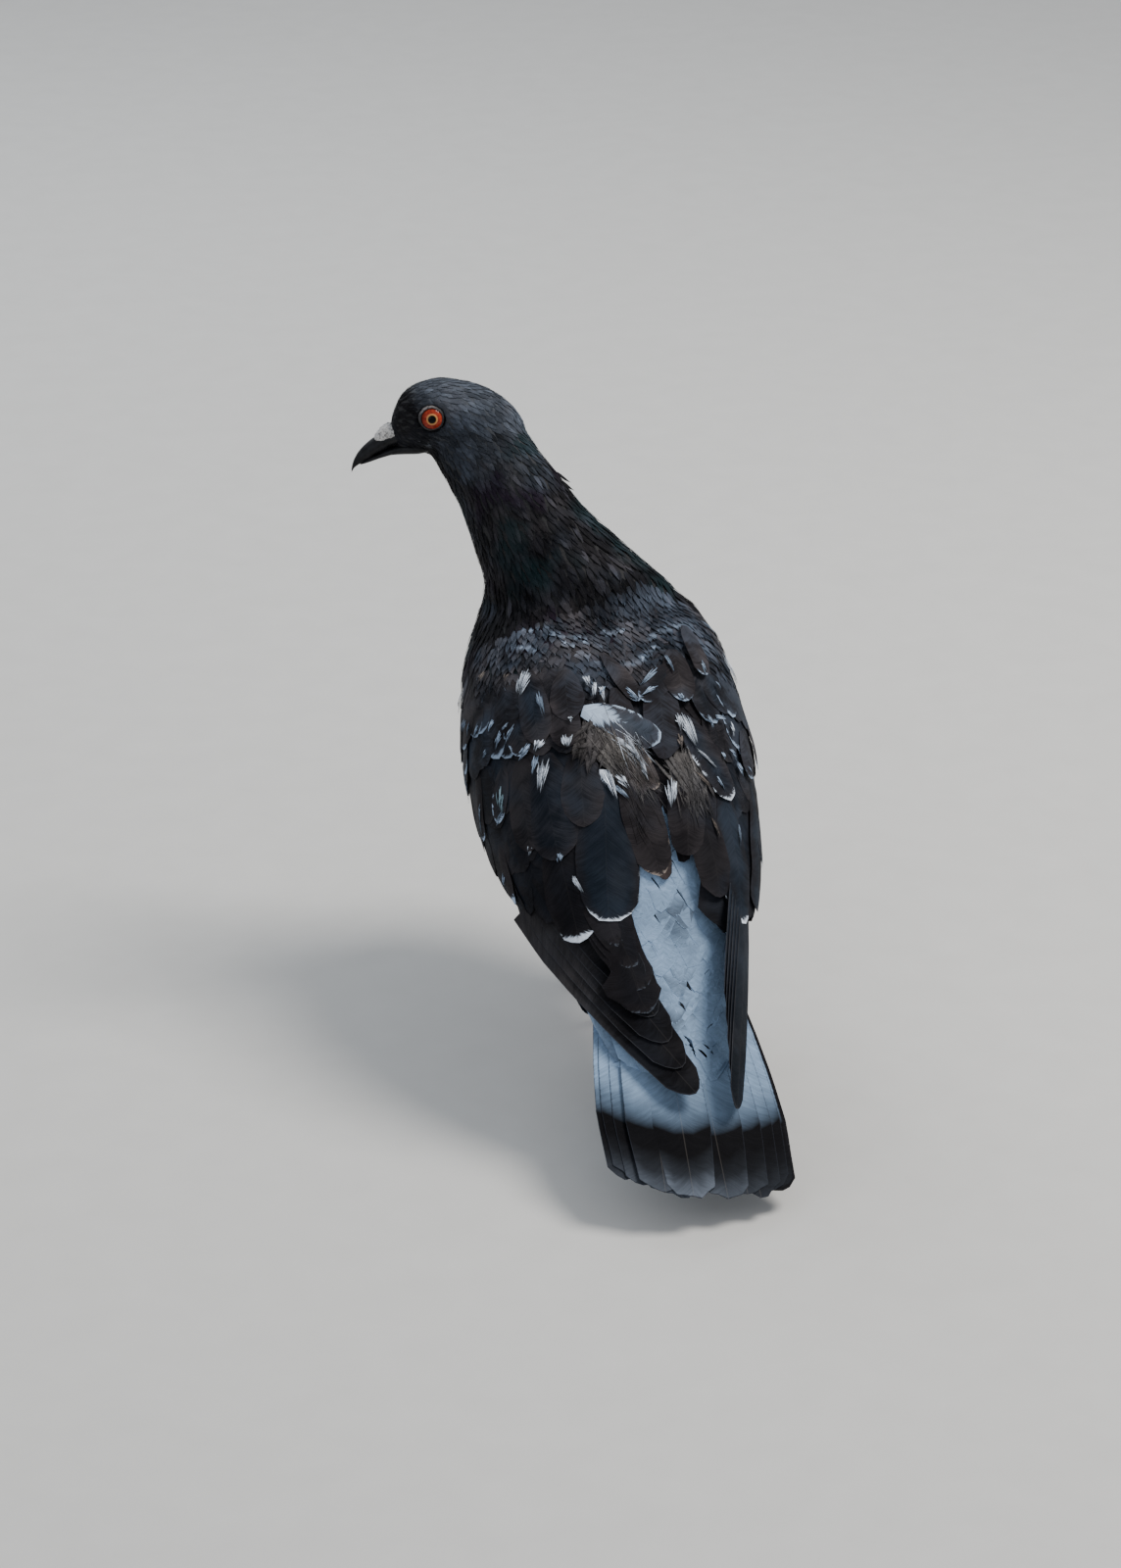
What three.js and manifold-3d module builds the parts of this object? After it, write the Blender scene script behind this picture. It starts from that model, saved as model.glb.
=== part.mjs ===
// A feral pigeon as a life-size still model: it stands alert on both feet, its wings are folded,
// its tail reaches down almost to the floor and it looks back over its left shoulder.
// Millimetres, +Z up. The trunk heads along +Y, and the bird's left side is towards -X.
// Every solid is drawn out to the tips of the plumage. Neighbouring solids keep a thin gap.
import * as THREE from "three";
import { mergeVertices } from "three/addons/utils/BufferGeometryUtils.js";
import Module from "manifold-3d";

const wasm = await Module();
wasm.setup();

// ---- driving dimensions ----
const GAP = 0.35; // between solids that touch in life
const TRUNK_AT = [4, 0, 92.5]; // origin of the trunk's own frame, over the floor
const TRUNK_YAW = -4; // degrees, breast to the left
const TRUNK_PITCH = 30; // degrees, breast up
const TRUNK_ROLL = 8; // degrees, the back leans to the bird's right
const HEAD_YAW = 76; // degrees, bill turned to the left of the trunk's heading
const HEAD_PITCH = 0; // degrees, bill up
const HEAD_ROLL = 12; // degrees, the left eye turns up
const HEAD_AT = [-40, 64, 198]; // between the two eyes
const NECK_BASE = [2, 36, 134]; // a point of the cut between trunk and neck
const NECK_FACING = [0, 0.3, 1]; // the way that cut faces
const WINGS = {
  // in the trunk's frame: roots and tips of the longest primary
  left: { side: -1, root: [-38, -58, 4], tip: [4.5, -132, 10.5] },
  right: { side: 1, root: [29, -58, 6], tip: [16, -139, 9.5] },
};
const PRIMARY_BLADES = 3; // steps of the folded primaries that show
const TAIL_BASE = -66; // quill ends, along the trunk
const TAIL_SIDE = 5; // middle of the tail, to the right of the trunk's middle
const TAIL_LENGTH = 100; // quill base to feather end
const TAIL_FEATHERS = 12;
const TAIL_ROOT_HALF = 22; // half width at the quills
const TAIL_HALF = 28.3; // half width of the closed tail
const EYE_RADIUS = 5;
const EYE_SIDE = 7.4; // eyeball centre to the head's mid plane
const LEGS = {
  // ball of the foot and ankle over the floor, toes turned outward in degrees: a short step, with
  // the weight on the left foot under the body and the right foot set ahead and to the side
  left: { side: -1, ball: [5, -4], ankle: [-2, -16, 35], hip: [-14, 8, 64], turn: -20 },
  right: { side: 1, ball: [37, 26], ankle: [30, 13, 35], hip: [20, 24, 64], turn: 4 },
};

const rad = THREE.MathUtils.degToRad;
const { lerp, smoothstep } = THREE.MathUtils;

// ---- tools for shapes ----

// Reads rows of [position, value, value ...] as smooth curves over the position.
function curves(rows) {
  const places = rows.map((row) => row[0]);
  const values = rows.flatMap((row) => row.slice(1));
  const reader = new THREE.CubicInterpolant(places, values, rows[0].length - 1);
  return (place) => Array.from(reader.evaluate(place));
}

// A turn that sends +Y to where a ring faces: roll about it, then pitch up, then yaw to the left.
function turned([yaw = 0, pitch = 0, roll = 0]) {
  const euler = new THREE.Euler(rad(pitch), rad(roll), rad(yaw), "ZXY");
  return new THREE.Matrix4().makeRotationFromEuler(euler);
}

function placed(at, turn = []) {
  return turned(turn).setPosition(...at);
}

// The points of one ring round its own +Y: left and right alike, upper and lower halves different.
function ringPoints({ wide, up, down, power = 1, place }, sides) {
  return Array.from({ length: sides }, (_, i) => {
    const angle = (i / sides) * 2 * Math.PI;
    const across = Math.cos(angle);
    const rise = Math.sin(angle);
    const bent = (v) => Math.sign(v) * Math.abs(v) ** power;
    return new THREE.Vector3(
      wide * bent(across),
      0,
      (rise > 0 ? up : down) * bent(rise),
    ).applyMatrix4(place);
  });
}

// A closed skin over rings of equally many points, with a flat end at each side.
function skinOver(rings) {
  const sides = rings[0].length;
  const middle = (ring) =>
    ring.reduce((sum, p) => sum.add(p), new THREE.Vector3()).divideScalar(sides);
  const points = [...rings.flat(), middle(rings[0]), middle(rings.at(-1))];
  const tail = rings.length * sides;
  const faces = [];
  for (let r = 0; r + 1 < rings.length; r++) {
    for (let i = 0; i < sides; i++) {
      const j = (i + 1) % sides;
      const [a, b] = [r * sides + i, r * sides + j];
      const [c, d] = [a + sides, b + sides];
      faces.push(a, b, d, a, d, c);
    }
  }
  for (let i = 0; i < sides; i++) {
    const j = (i + 1) % sides;
    faces.push(tail, j, i);
    faces.push(tail + 1, tail - sides + i, tail - sides + j);
  }
  const geometry = new THREE.BufferGeometry().setFromPoints(points);
  geometry.setIndex(faces);
  return geometry;
}

// A closed sheet between two grids of points, with its four sides sewn.
function sheetBetween(over, under) {
  const [rows, columns] = [over.length, over[0].length];
  const points = [...over.flat(), ...under.flat()];
  const at = (isUnder, row, column) => (isUnder ? rows * columns : 0) + row * columns + column;
  const faces = [];
  const quad = (a, b, c, d) => faces.push(a, b, c, a, c, d);
  for (let r = 0; r + 1 < rows; r++) {
    for (let c = 0; c + 1 < columns; c++) {
      quad(at(false, r, c), at(false, r, c + 1), at(false, r + 1, c + 1), at(false, r + 1, c));
      quad(at(true, r, c), at(true, r + 1, c), at(true, r + 1, c + 1), at(true, r, c + 1));
    }
    quad(at(false, r, 0), at(false, r + 1, 0), at(true, r + 1, 0), at(true, r, 0));
    const last = columns - 1;
    quad(at(false, r, last), at(true, r, last), at(true, r + 1, last), at(false, r + 1, last));
  }
  for (let c = 0; c + 1 < columns; c++) {
    const end = rows - 1;
    quad(at(false, 0, c), at(true, 0, c), at(true, 0, c + 1), at(false, 0, c + 1));
    quad(at(false, end, c), at(false, end, c + 1), at(true, end, c + 1), at(true, end, c));
  }
  const geometry = new THREE.BufferGeometry().setFromPoints(points);
  geometry.setIndex(faces);
  return geometry;
}

// Yaw and pitch, in degrees, that turn +Y to a direction.
function headingOf(way) {
  const yaw = Math.atan2(-way.x, way.y);
  const pitch = Math.atan2(way.z, Math.hypot(way.x, way.y));
  return [THREE.MathUtils.radToDeg(yaw), THREE.MathUtils.radToDeg(pitch)];
}

// A closed mesh as a manifold-3d solid. One that is inside out is turned round.
function solid(geometry) {
  const bare = geometry.clone();
  bare.deleteAttribute("normal");
  bare.deleteAttribute("uv");
  const merged = mergeVertices(bare, 1e-4);
  const make = (faces) =>
    new wasm.Manifold(
      new wasm.Mesh({
        numProp: 3,
        vertProperties: new Float32Array(merged.attributes.position.array),
        triVerts: new Uint32Array(faces),
      }),
    );
  const faces = Array.from(merged.index.array);
  const made = make(faces);
  return made.volume() > 0 ? made : make(faces.reverse());
}

function geometryOf(body) {
  const { vertProperties, triVerts } = body.getMesh();
  const geometry = new THREE.BufferGeometry();
  geometry.setAttribute("position", new THREE.BufferAttribute(vertProperties, 3));
  geometry.setIndex(new THREE.BufferAttribute(triVerts, 1));
  return geometry;
}

const joined = (bodies) => bodies.reduce((sum, body) => sum.add(body));
const without = (body, cutters) => cutters.reduce((rest, c) => rest.subtract(c), body);

// The biggest loose piece of a solid, so that a cut leaves no crumbs.
function biggest(body) {
  return body.decompose().sort((a, b) => b.volume() - a.volume())[0];
}

// Even steps from a to b, drawn closer together near both ends.
function easedSteps(a, b, count) {
  return Array.from({ length: count + 1 }, (_, i) =>
    lerp(a, b, (1 - Math.cos((i / count) * Math.PI)) / 2),
  );
}

// ---- materials ----
const paint = (color, roughness, metalness = 0) =>
  new THREE.MeshStandardMaterial({ color, roughness, metalness });
const MATERIALS = {
  slate: paint(0x23262e, 0.7),
  sooty: paint(0x17171b, 0.65),
  dusk: paint(0x1d1a1c, 0.75),
  pale: paint(0x8d9cb0, 0.8),
  banded: paint(0x56616f, 0.75),
  horn: paint(0x131315, 0.4),
  chalk: paint(0xc9c5c0, 0.9),
  iris: paint(0xd9481c, 0.15),
  coral: paint(0x8e3a3c, 0.55),
  claw: paint(0x1a1716, 0.4),
};

// Every sub-part is the biggest loose piece of its solid, so that no cut leaves crumbs.
const pigeon = new THREE.Group();
function add(name, body, material) {
  const mesh = new THREE.Mesh(geometryOf(biggest(body)), MATERIALS[material]);
  mesh.name = name;
  pigeon.add(mesh);
}

// ---- trunk: from the end of the tail coverts to the breast, in the trunk's own level frame ----
const TRUNK_SIDES = 24;
const TRUNK_STEPS = 16;
const TRUNK_FRAME = placed(TRUNK_AT, [TRUNK_YAW, TRUNK_PITCH, TRUNK_ROLL]);
const trunkAt = curves([
  // along, centre height, half width, reach up, reach down
  [-120, 2.5, 19, 2, 4.5],
  [-104, 2.5, 24, 5, 9],
  [-85, 1.5, 27.5, 12, 17],
  [-60, 0, 35, 25, 32],
  [-30, 0, 39.5, 35, 42],
  [0, 0, 42, 40, 46],
  [30, 1, 40, 38, 43],
  [52, 2, 34, 32, 37],
  [70, 2, 22, 20, 25],
  [78, 2, 5, 4, 5],
]);
const TRUNK_ENDS = [-120, 78];

// A body of level rings along one frame, grown alike on all sides.
function barrel({ at, ends, frame, sides, steps, grow }) {
  const [rear, front] = ends;
  const rings = easedSteps(rear - grow, front + grow, steps).map((along) => {
    const [height, wide, up, down] = at(THREE.MathUtils.clamp(along, rear, front));
    const place = frame.clone().multiply(placed([0, along, height]));
    return ringPoints({ wide: wide + grow, up: up + grow, down: down + grow, place }, sides);
  });
  return solid(skinOver(rings));
}

const trunkSolid = (grow = 0) =>
  barrel({
    at: trunkAt,
    ends: TRUNK_ENDS,
    frame: TRUNK_FRAME,
    sides: TRUNK_SIDES,
    steps: TRUNK_STEPS,
    grow,
  });

// ---- neck: from inside the trunk up to inside the head ----
const NECK_SIDES = 20;
const NECK_STEPS = 9;
const neckAt = curves([
  // share of the way, x, y, z, yaw, pitch, half width, reach up (nape), reach down (throat)
  [0, 5.5, 22, 113, 0, 48, 37, 25, 34],
  [0.25, 5, 35, 137, 8, 52, 31.5, 26, 31],
  [0.5, -8, 44, 157, 18, 60, 22.5, 20, 24],
  [0.75, -18.5, 51, 175, 40, 62, 16, 19.5, 18],
  [1, -31, 60, 191, 65, 52, 12, 17, 13],
]);

function neckSolid(grow = 0) {
  const rings = easedSteps(0, 1, NECK_STEPS).map((share) => {
    const [x, y, z, yaw, pitch, wide, up, down] = neckAt(share);
    const place = placed([x, y, z], [yaw, pitch]);
    return ringPoints({ wide: wide + grow, up: up + grow, down: down + grow, place }, NECK_SIDES);
  });
  return solid(skinOver(rings));
}

// ---- head: its own frame has the bill along +Y, the crown up +Z and its origin between the eyes ----
const HEAD_SIDES = 16;
const HEAD_STEPS = 11;
const HEAD_ENDS = [-31, 15];
const HEAD_CUT = { at: [0, -14, -10], facing: [0, 0.3, 0.95] }; // from the nape to the throat
const HEAD_FRAME = placed(HEAD_AT, [HEAD_YAW, HEAD_PITCH, HEAD_ROLL]);
const headAt = curves([
  // along, centre height, half width, reach up, reach down
  [-31, -4, 2, 2, 2],
  [-28, -4, 8, 6.5, 9],
  [-20, -2, 11, 11, 13],
  [-10, 0, 12, 12.5, 14],
  [2, 0, 11.6, 12.6, 12.8],
  [8, -1, 9.6, 11.4, 11],
  [12.5, -2.5, 7, 8, 8.6],
  [15, -4.5, 3, 3, 3.5],
]);

const headSolid = (grow = 0) =>
  barrel({
    at: headAt,
    ends: HEAD_ENDS,
    frame: HEAD_FRAME,
    sides: HEAD_SIDES,
    steps: HEAD_STEPS,
    grow,
  });

// ---- bill and cere, in the head's frame ----
const BILL_SIDES = 10;
const BILL_STEPS = 8;
const BILL_POWER = 0.8; // below 1 the sides are flatter than an ellipse
function billSolid(rows, grow = 0) {
  const at = curves(rows);
  const rings = easedSteps(rows[0][0], rows.at(-1)[0], BILL_STEPS).map((along) => {
    const [top, bottom, half] = at(along);
    const height = (top + bottom) / 2;
    const reach = (top - bottom) / 2 + grow;
    const place = HEAD_FRAME.clone().multiply(placed([0, along, height]));
    const ring = { wide: half + grow, up: reach, down: reach, power: BILL_POWER, place };
    return ringPoints(ring, BILL_SIDES);
  });
  return solid(skinOver(rings));
}
const UPPER_BILL = [
  // along, culmen height, cutting edge height, half width
  [8, -3, -6.2, 5],
  [14, -4.3, -8.4, 3.7],
  [18, -5.8, -10.9, 3.1],
  [21, -7.8, -12.6, 2.5],
  [24, -10.9, -14.5, 1.7],
  [25.6, -13.4, -16, 0.9],
  [26.2, -15, -16.5, 0.35],
];
const LOWER_BILL = [
  // along, cutting edge height, lower outline, half width
  [3, -9.6, -11.6, 5],
  [8, -6.6, -12, 4.5],
  [12, -7.9, -11.8, 3.7],
  [16, -10.2, -12.3, 2.7],
  [20, -12.5, -13.8, 1.9],
  [23.6, -14.5, -15.3, 0.8],
];
const CERE = { side: 1.9, along: 15, height: -4.4, pitch: -34, roll: 12, radii: [2.7, 4.2, 2.6] };
function cereSolid(grow = 0) {
  const lobes = [-1, 1].map((side) => {
    const at = [side * CERE.side, CERE.along, CERE.height];
    const place = placed(at, [0, CERE.pitch, side * CERE.roll]);
    const ball = new THREE.SphereGeometry(1, 9, 6).scale(...CERE.radii.map((r) => r + grow));
    return solid(ball.applyMatrix4(HEAD_FRAME.clone().multiply(place)));
  });
  return joined(lobes);
}

function eyeSolid(side, grow = 0) {
  const place = HEAD_FRAME.clone().multiply(placed([side * EYE_SIDE, 0, 0]));
  const ball = new THREE.SphereGeometry(EYE_RADIUS + grow, 12, 8);
  return solid(ball.rotateZ(Math.PI / 2).applyMatrix4(place));
}

// ---- flesh: trunk, neck and head are one body, parted by two thin plane cuts ----

// Parts a body at a plane and leaves a gap there: first the piece the plane faces, then the rest.
function parted(body, at, facing) {
  const normal = new THREE.Vector3(...facing).normalize();
  const reach = normal.dot(new THREE.Vector3(...at));
  return [
    body.trimByPlane(normal.toArray(), reach + GAP / 2),
    body.trimByPlane(normal.clone().negate().toArray(), GAP / 2 - reach),
  ];
}

// A direction or a point given in a frame, read in the group's own axes.
const pointIn = (frame, at) => new THREE.Vector3(...at).applyMatrix4(frame).toArray();
const facingIn = (frame, way) => new THREE.Vector3(...way).transformDirection(frame).toArray();

const fleshWhole = joined([trunkSolid(), neckSolid(), headSolid()]);
const fleshRoom = joined([trunkSolid(GAP), neckSolid(GAP), headSolid(GAP)]);
const headRoom = headSolid(GAP);
const [aboveShoulders, trunk] = parted(fleshWhole, NECK_BASE, NECK_FACING);
const [headWhole, neck] = parted(
  aboveShoulders,
  pointIn(HEAD_FRAME, HEAD_CUT.at),
  facingIn(HEAD_FRAME, HEAD_CUT.facing),
);
const head = without(headWhole, [-1, 1].map((side) => eyeSolid(side, GAP)));
const cereRoom = cereSolid(GAP);

add("trunk", trunk, "dusk");
add("neck", neck, "sooty");
add("head", head, "slate");
add("eye_left", eyeSolid(-1), "iris");
add("eye_right", eyeSolid(1), "iris");
add("cere", cereSolid().subtract(headRoom), "chalk");
add("upper_bill", without(billSolid(UPPER_BILL), [headRoom, cereRoom]), "horn");
const lowerBillCutters = [headRoom, cereRoom, billSolid(UPPER_BILL, GAP)];
add("lower_bill", without(billSolid(LOWER_BILL), lowerBillCutters), "horn");

// ---- wings, folded over the trunk ----
// Rows along the wing from the wrist back to the tips of the inner feathers.
const wingAt = curves([
  // share of the way, lower and upper edge in degrees above the side, thickness, lift off the trunk
  [0, -24, 40, 3, 1.1],
  [0.08, -38, 56, 6.6, 1.1],
  [0.2, -46, 72, 6, 1.1],
  [0.36, -46, 82, 5.6, 1.1],
  [0.52, -42, 82, 5.4, 1.2],
  [0.68, -34, 77, 4.6, 1.6],
  [0.84, -16, 70, 3.4, 2.4],
  [1, 6, 64, 1, 3.4],
]);
const WING_FRONT = 66;
const WING_REAR = [-66, -109]; // rear end along the trunk, at the lower and at the upper edge
const WING_COLUMNS = 9;
const WING_ROWS = 11;
const WING_EDGE = 0.8; // least thickness, at the edges of the shell
const WING_CUTS = {
  // planes in the trunk's frame, for the right side
  secondaries: { at: [20, -22, 0], facing: [-0.25, 1, 0] },
  primaries: { at: [22, -89, 0], facing: [-0.86, 0.5, 0] },
};

function onTrunk(side, along, angle, lift) {
  const [height, wide, up, down] = trunkAt(along);
  const [c, s] = [Math.cos(rad(angle)), Math.sin(rad(angle))];
  const tall = s > 0 ? up : down;
  const out = new THREE.Vector2(c / wide, s / tall).normalize().multiplyScalar(lift);
  return new THREE.Vector3(side * (wide * c + out.x), along, height + tall * s + out.y);
}

function wingShell(side, grow = 0) {
  const rows = easedSteps(0, 1, WING_ROWS);
  const layer = (isOver) =>
    rows.map((share) => {
      const [low, high, thick, lift] = wingAt(share);
      return Array.from({ length: WING_COLUMNS }, (_, column) => {
        const across = column / (WING_COLUMNS - 1);
        const rear = lerp(...WING_REAR, smoothstep(across, 0, 0.75));
        const swell = lerp(WING_EDGE, thick, Math.sqrt(Math.sin(Math.PI * across)));
        const height = lift + (isOver ? swell + grow : -grow);
        const along = lerp(WING_FRONT + grow, rear - grow, share);
        return onTrunk(side, along, lerp(low - 2 * grow, high + 2 * grow, across), height);
      });
    });
  return solid(sheetBetween(layer(true), layer(false)).applyMatrix4(TRUNK_FRAME));
}

// One long feather as a thin blade, widest past the middle, round at its end and a little twisted.
const BLADE = { half: 8, thick: 1.3, rootShare: 0.7, tipShare: 0.25, roundFrom: 0.72, sides: 6 };
const BLADE_STEPS = [0, 0.4, BLADE.roundFrom, 0.88, 0.96, 1];
const BLADE_ROLLS = [36, 10]; // degrees that a right blade leans outward, at its root and tip
const NEXT_ROOT = [-5, 0, 3.6]; // from one right primary to the next inner one
const NEXT_TIP = [-1.2, 10, 1.1];

function blade(side, root, tip) {
  const reach = new THREE.Vector3(...tip).sub(new THREE.Vector3(...root));
  const [yaw, pitch] = headingOf(reach);
  const rings = BLADE_STEPS.map((share) => {
    const pastRound = Math.max(0, (share - BLADE.roundFrom) / (1 - BLADE.roundFrom));
    const round = Math.max(BLADE.tipShare, Math.sqrt(1 - pastRound ** 2));
    const wide = BLADE.half * lerp(BLADE.rootShare, 1, smoothstep(share, 0, 0.5)) * round;
    const at = root.map((v, i) => lerp(v, tip[i], share));
    const turn = [yaw, pitch, side * lerp(...BLADE_ROLLS, share)];
    const place = TRUNK_FRAME.clone().multiply(placed(at, turn));
    return ringPoints({ wide, up: BLADE.thick / 2, down: BLADE.thick / 2, place }, BLADE.sides);
  });
  return solid(skinOver(rings));
}

// The primaries step back and inward from the longest one.
function primariesOf({ side, root, tip }) {
  const stepped = (from, [x, y, z], step) => [
    from[0] + side * x * step,
    from[1] + y * step,
    from[2] + z * step,
  ];
  return joined(
    Array.from({ length: PRIMARY_BLADES }, (_, step) =>
      blade(side, stepped(root, NEXT_ROOT, step), stepped(tip, NEXT_TIP, step)),
    ),
  );
}

// ---- tail: twelve feathers side by side, the middle pair on top ----
const TAIL_THICK = 1.2;
const TAIL_RIDGE = 3; // height of the middle over the sides
const TAIL_ROUNDING = 4; // how much shorter the outermost feathers are
const VANE_RISE = 0.45; // height of a feather's shaft over its edges
const VANE_NOTCH = 1.6; // depth of the notches between the feather ends
const TAIL_ROWS = [0, 0.22, 0.5, 0.8, 1];

function tailSheet(lift = 0) {
  const layer = (rise) =>
    TAIL_ROWS.map((share) =>
      Array.from({ length: TAIL_FEATHERS * 2 + 1 }, (_, column) => {
        const across = column / TAIL_FEATHERS - 1;
        const vane = column % 2;
        const half = lerp(TAIL_ROOT_HALF, TAIL_HALF, smoothstep(share, 0, 0.4)) + lift;
        const notch = (1 - vane) * VANE_NOTCH * share;
        const reach = TAIL_LENGTH + lift - TAIL_ROUNDING * across ** 2 - notch;
        const height = TAIL_RIDGE * (1 - Math.abs(across)) + VANE_RISE * vane + rise;
        return new THREE.Vector3(TAIL_SIDE + across * half, TAIL_BASE - reach * share, height);
      }),
    );
  const sheet = sheetBetween(layer(lift), layer(-TAIL_THICK - lift));
  return solid(sheet.applyMatrix4(TRUNK_FRAME));
}
add("tail", tailSheet().subtract(fleshRoom), "banded");

// ---- legs: feathered thigh, bare shank, and toes that lie flat on the floor ----
const FLOOR_BLOCK = [500, 500, 40];
const floorBlock = solid(
  new THREE.BoxGeometry(...FLOOR_BLOCK).translate(0, 0, -FLOOR_BLOCK[2] / 2),
);

// A round limb through points, each given as [x, y, z, radius].
function limb(points, sides) {
  const at = points.map((p) => new THREE.Vector3(...p));
  const rings = points.map(([, , , radius], i) => {
    const ahead = at[Math.min(i + 1, at.length - 1)].clone();
    const [yaw, pitch] = headingOf(ahead.sub(at[Math.max(i - 1, 0)]));
    const place = placed(at[i].toArray(), [yaw, pitch]);
    return ringPoints({ wide: radius, up: radius, down: radius, place }, sides);
  });
  return solid(skinOver(rings));
}

const TOES = [
  // name, degrees turned outward, length, radius at its root
  ["inner", -34, 25, 2.3],
  ["middle", 2, 33, 2.5],
  ["outer", 36, 27, 2.2],
  ["hind", 176, 14, 2.1],
];
const TOE_REST = 0.84; // height of a toe's middle line over its radius: less than 1 leaves a flat
const TOE_BONES = [0, 0.2, 0.45, 0.7, 0.97]; // knuckles and the thinner places between them
const TOE_SIDES = 6;
const CLAW_LENGTH = 7.5;
const CLAW_RADII = [1.3, 0.4]; // root and tip
const CLAW_HEIGHTS = [1.5, 0.8];
const CLAW_ARCH = 0.5;
const ANKLE_CUT = 1.5; // over the ankle, between thigh and shank
const FOOT_CUT = 5.4; // over the floor, between shank and toes
const THIGH_RADII = [
  // share of the way from hip to ankle, radius
  [0, 15],
  [0.35, 12.5],
  [0.65, 8.2],
  [0.87, 4.8],
  [1, 3.2],
];
const SHANK_RADII = [
  // share of the way from ankle to ball of the foot, radius
  [0, 3],
  [0.2, 2.3],
  [0.7, 2.2],
  [0.88, 2.8],
  [0.95, 3],
];
const SHANK_HEAD = [0, 0.8, 3, 2.4]; // the shank's top past the ankle and its radius
const THIGH_SIDES = 12;
const SHANK_SIDES = 8;

// One toe with its claw, swollen at the knuckles, parted where the claw begins.
function toeAndClaw(ball, outward, length, radius) {
  const way = [Math.sin(outward), Math.cos(outward), 0];
  const bones = TOE_BONES.map((share, i) => {
    const knuckle = i % 2 ? 0.9 : 1.04;
    const thick = radius * lerp(1, 0.7, share) * knuckle;
    return [length * share, thick * TOE_REST, thick];
  });
  const claw = [0, 0.5, 1].map((share) => [
    length + CLAW_LENGTH * share,
    lerp(...CLAW_HEIGHTS, share) + CLAW_ARCH * Math.sin(Math.PI * share),
    lerp(...CLAW_RADII, share),
  ]);
  const points = [...bones, ...claw].map(([far, height, thick]) => [
    ball[0] + way[0] * far,
    ball[1] + way[1] * far,
    height,
    thick,
  ]);
  const whole = limb(points, TOE_SIDES).subtract(floorBlock);
  const border = [ball[0] + way[0] * length, ball[1] + way[1] * length, 0];
  return parted(whole, border, way);
}

function addLeg(word, { side, ball, ankle, hip, turn }, body) {
  const between = (a, b) => ([share, radius]) => [...a.map((v, i) => lerp(v, b[i], share)), radius];
  const thigh = limb(THIGH_RADII.map(between(hip, ankle)), THIGH_SIDES);
  const shankHead = [...ankle, 0].map((v, i) => v + SHANK_HEAD[i]);
  const shankBones = SHANK_RADII.map(between(ankle, [...ball, 0]));
  const shank = limb([shankHead, ...shankBones], SHANK_SIDES);
  const toes = TOES.map(([toeName, outward, length, radius]) => {
    const [claw, toe] = toeAndClaw(ball, rad(outward + turn) * side, length, radius);
    add(`claw_${toeName}_${word}`, claw, "claw");
    return toe;
  });
  const whole = joined([thigh, shank, ...toes]).subtract(floorBlock).subtract(body);
  const level = (body, height) => parted(body, [0, 0, height], [0, 0, 1]);
  const [aboveAnkle, belowAnkle] = level(whole, ankle[2] + ANKLE_CUT);
  const [bareShank, toesAlone] = level(belowAnkle, FOOT_CUT);
  add(`thigh_${word}`, aboveAnkle, "slate");
  add(`shank_${word}`, bareShank, "coral");
  add(`foot_${word}`, toesAlone, "coral");
}

// ---- wings and legs of both sides ----
const tailRoom = tailSheet(GAP);
for (const word of ["left", "right"]) {
  const { side } = WINGS[word];
  const roomUnderWing = fleshRoom.add(wingShell(side, GAP));
  const whole = joined([wingShell(side), primariesOf(WINGS[word])]);
  const free = biggest(without(whole, [fleshRoom, tailRoom]));
  const cutAt = (body, { at: [x, y, z], facing: [across, ahead, above] }) =>
    parted(
      body,
      pointIn(TRUNK_FRAME, [side * x, y, z]),
      facingIn(TRUNK_FRAME, [side * across, ahead, above]),
    );
  const [coverts, behind] = cutAt(free, WING_CUTS.secondaries);
  const [secondaries, primaries] = cutAt(behind, WING_CUTS.primaries);
  add(`wing_${word}_coverts`, coverts, "dusk");
  add(`wing_${word}_secondaries`, secondaries, "dusk");
  add(`wing_${word}_primaries`, primaries, "sooty");
  addLeg(word, LEGS[word], roomUnderWing);
}

// ---- the origin goes to the middle of the footprint, on the floor ----
const room = new THREE.Box3().setFromObject(pigeon);
const middle = room.getCenter(new THREE.Vector3());
pigeon.children.forEach((mesh) => mesh.geometry.translate(-middle.x, -middle.y, -room.min.z));

export default pigeon;
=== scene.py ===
import math

import bmesh
import bpy
import numpy as np
from mathutils import Matrix, Vector
from mathutils.bvhtree import BVHTree
from mathutils.kdtree import KDTree


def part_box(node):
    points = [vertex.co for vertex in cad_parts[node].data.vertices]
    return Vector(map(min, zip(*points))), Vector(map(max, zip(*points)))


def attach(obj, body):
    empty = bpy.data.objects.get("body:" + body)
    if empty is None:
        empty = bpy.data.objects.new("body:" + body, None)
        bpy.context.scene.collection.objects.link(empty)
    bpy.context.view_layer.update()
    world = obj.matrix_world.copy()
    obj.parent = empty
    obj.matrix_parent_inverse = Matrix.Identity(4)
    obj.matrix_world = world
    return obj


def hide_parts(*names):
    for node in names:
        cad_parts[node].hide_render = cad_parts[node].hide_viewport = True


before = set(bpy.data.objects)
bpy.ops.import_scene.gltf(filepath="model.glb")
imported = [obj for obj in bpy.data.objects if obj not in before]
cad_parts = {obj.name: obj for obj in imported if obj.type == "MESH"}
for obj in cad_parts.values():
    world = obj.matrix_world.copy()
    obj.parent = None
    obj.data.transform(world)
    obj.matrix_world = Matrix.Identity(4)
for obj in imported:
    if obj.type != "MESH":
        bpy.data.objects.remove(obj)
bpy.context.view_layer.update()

# A feral pigeon, life size: one skin, and over it the plumage as thin closed vanes.
# Lengths are written in millimetres and scaled by MM where a mesh is made.
MM = 0.001
CHANCE = np.random.default_rng(11)

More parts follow.
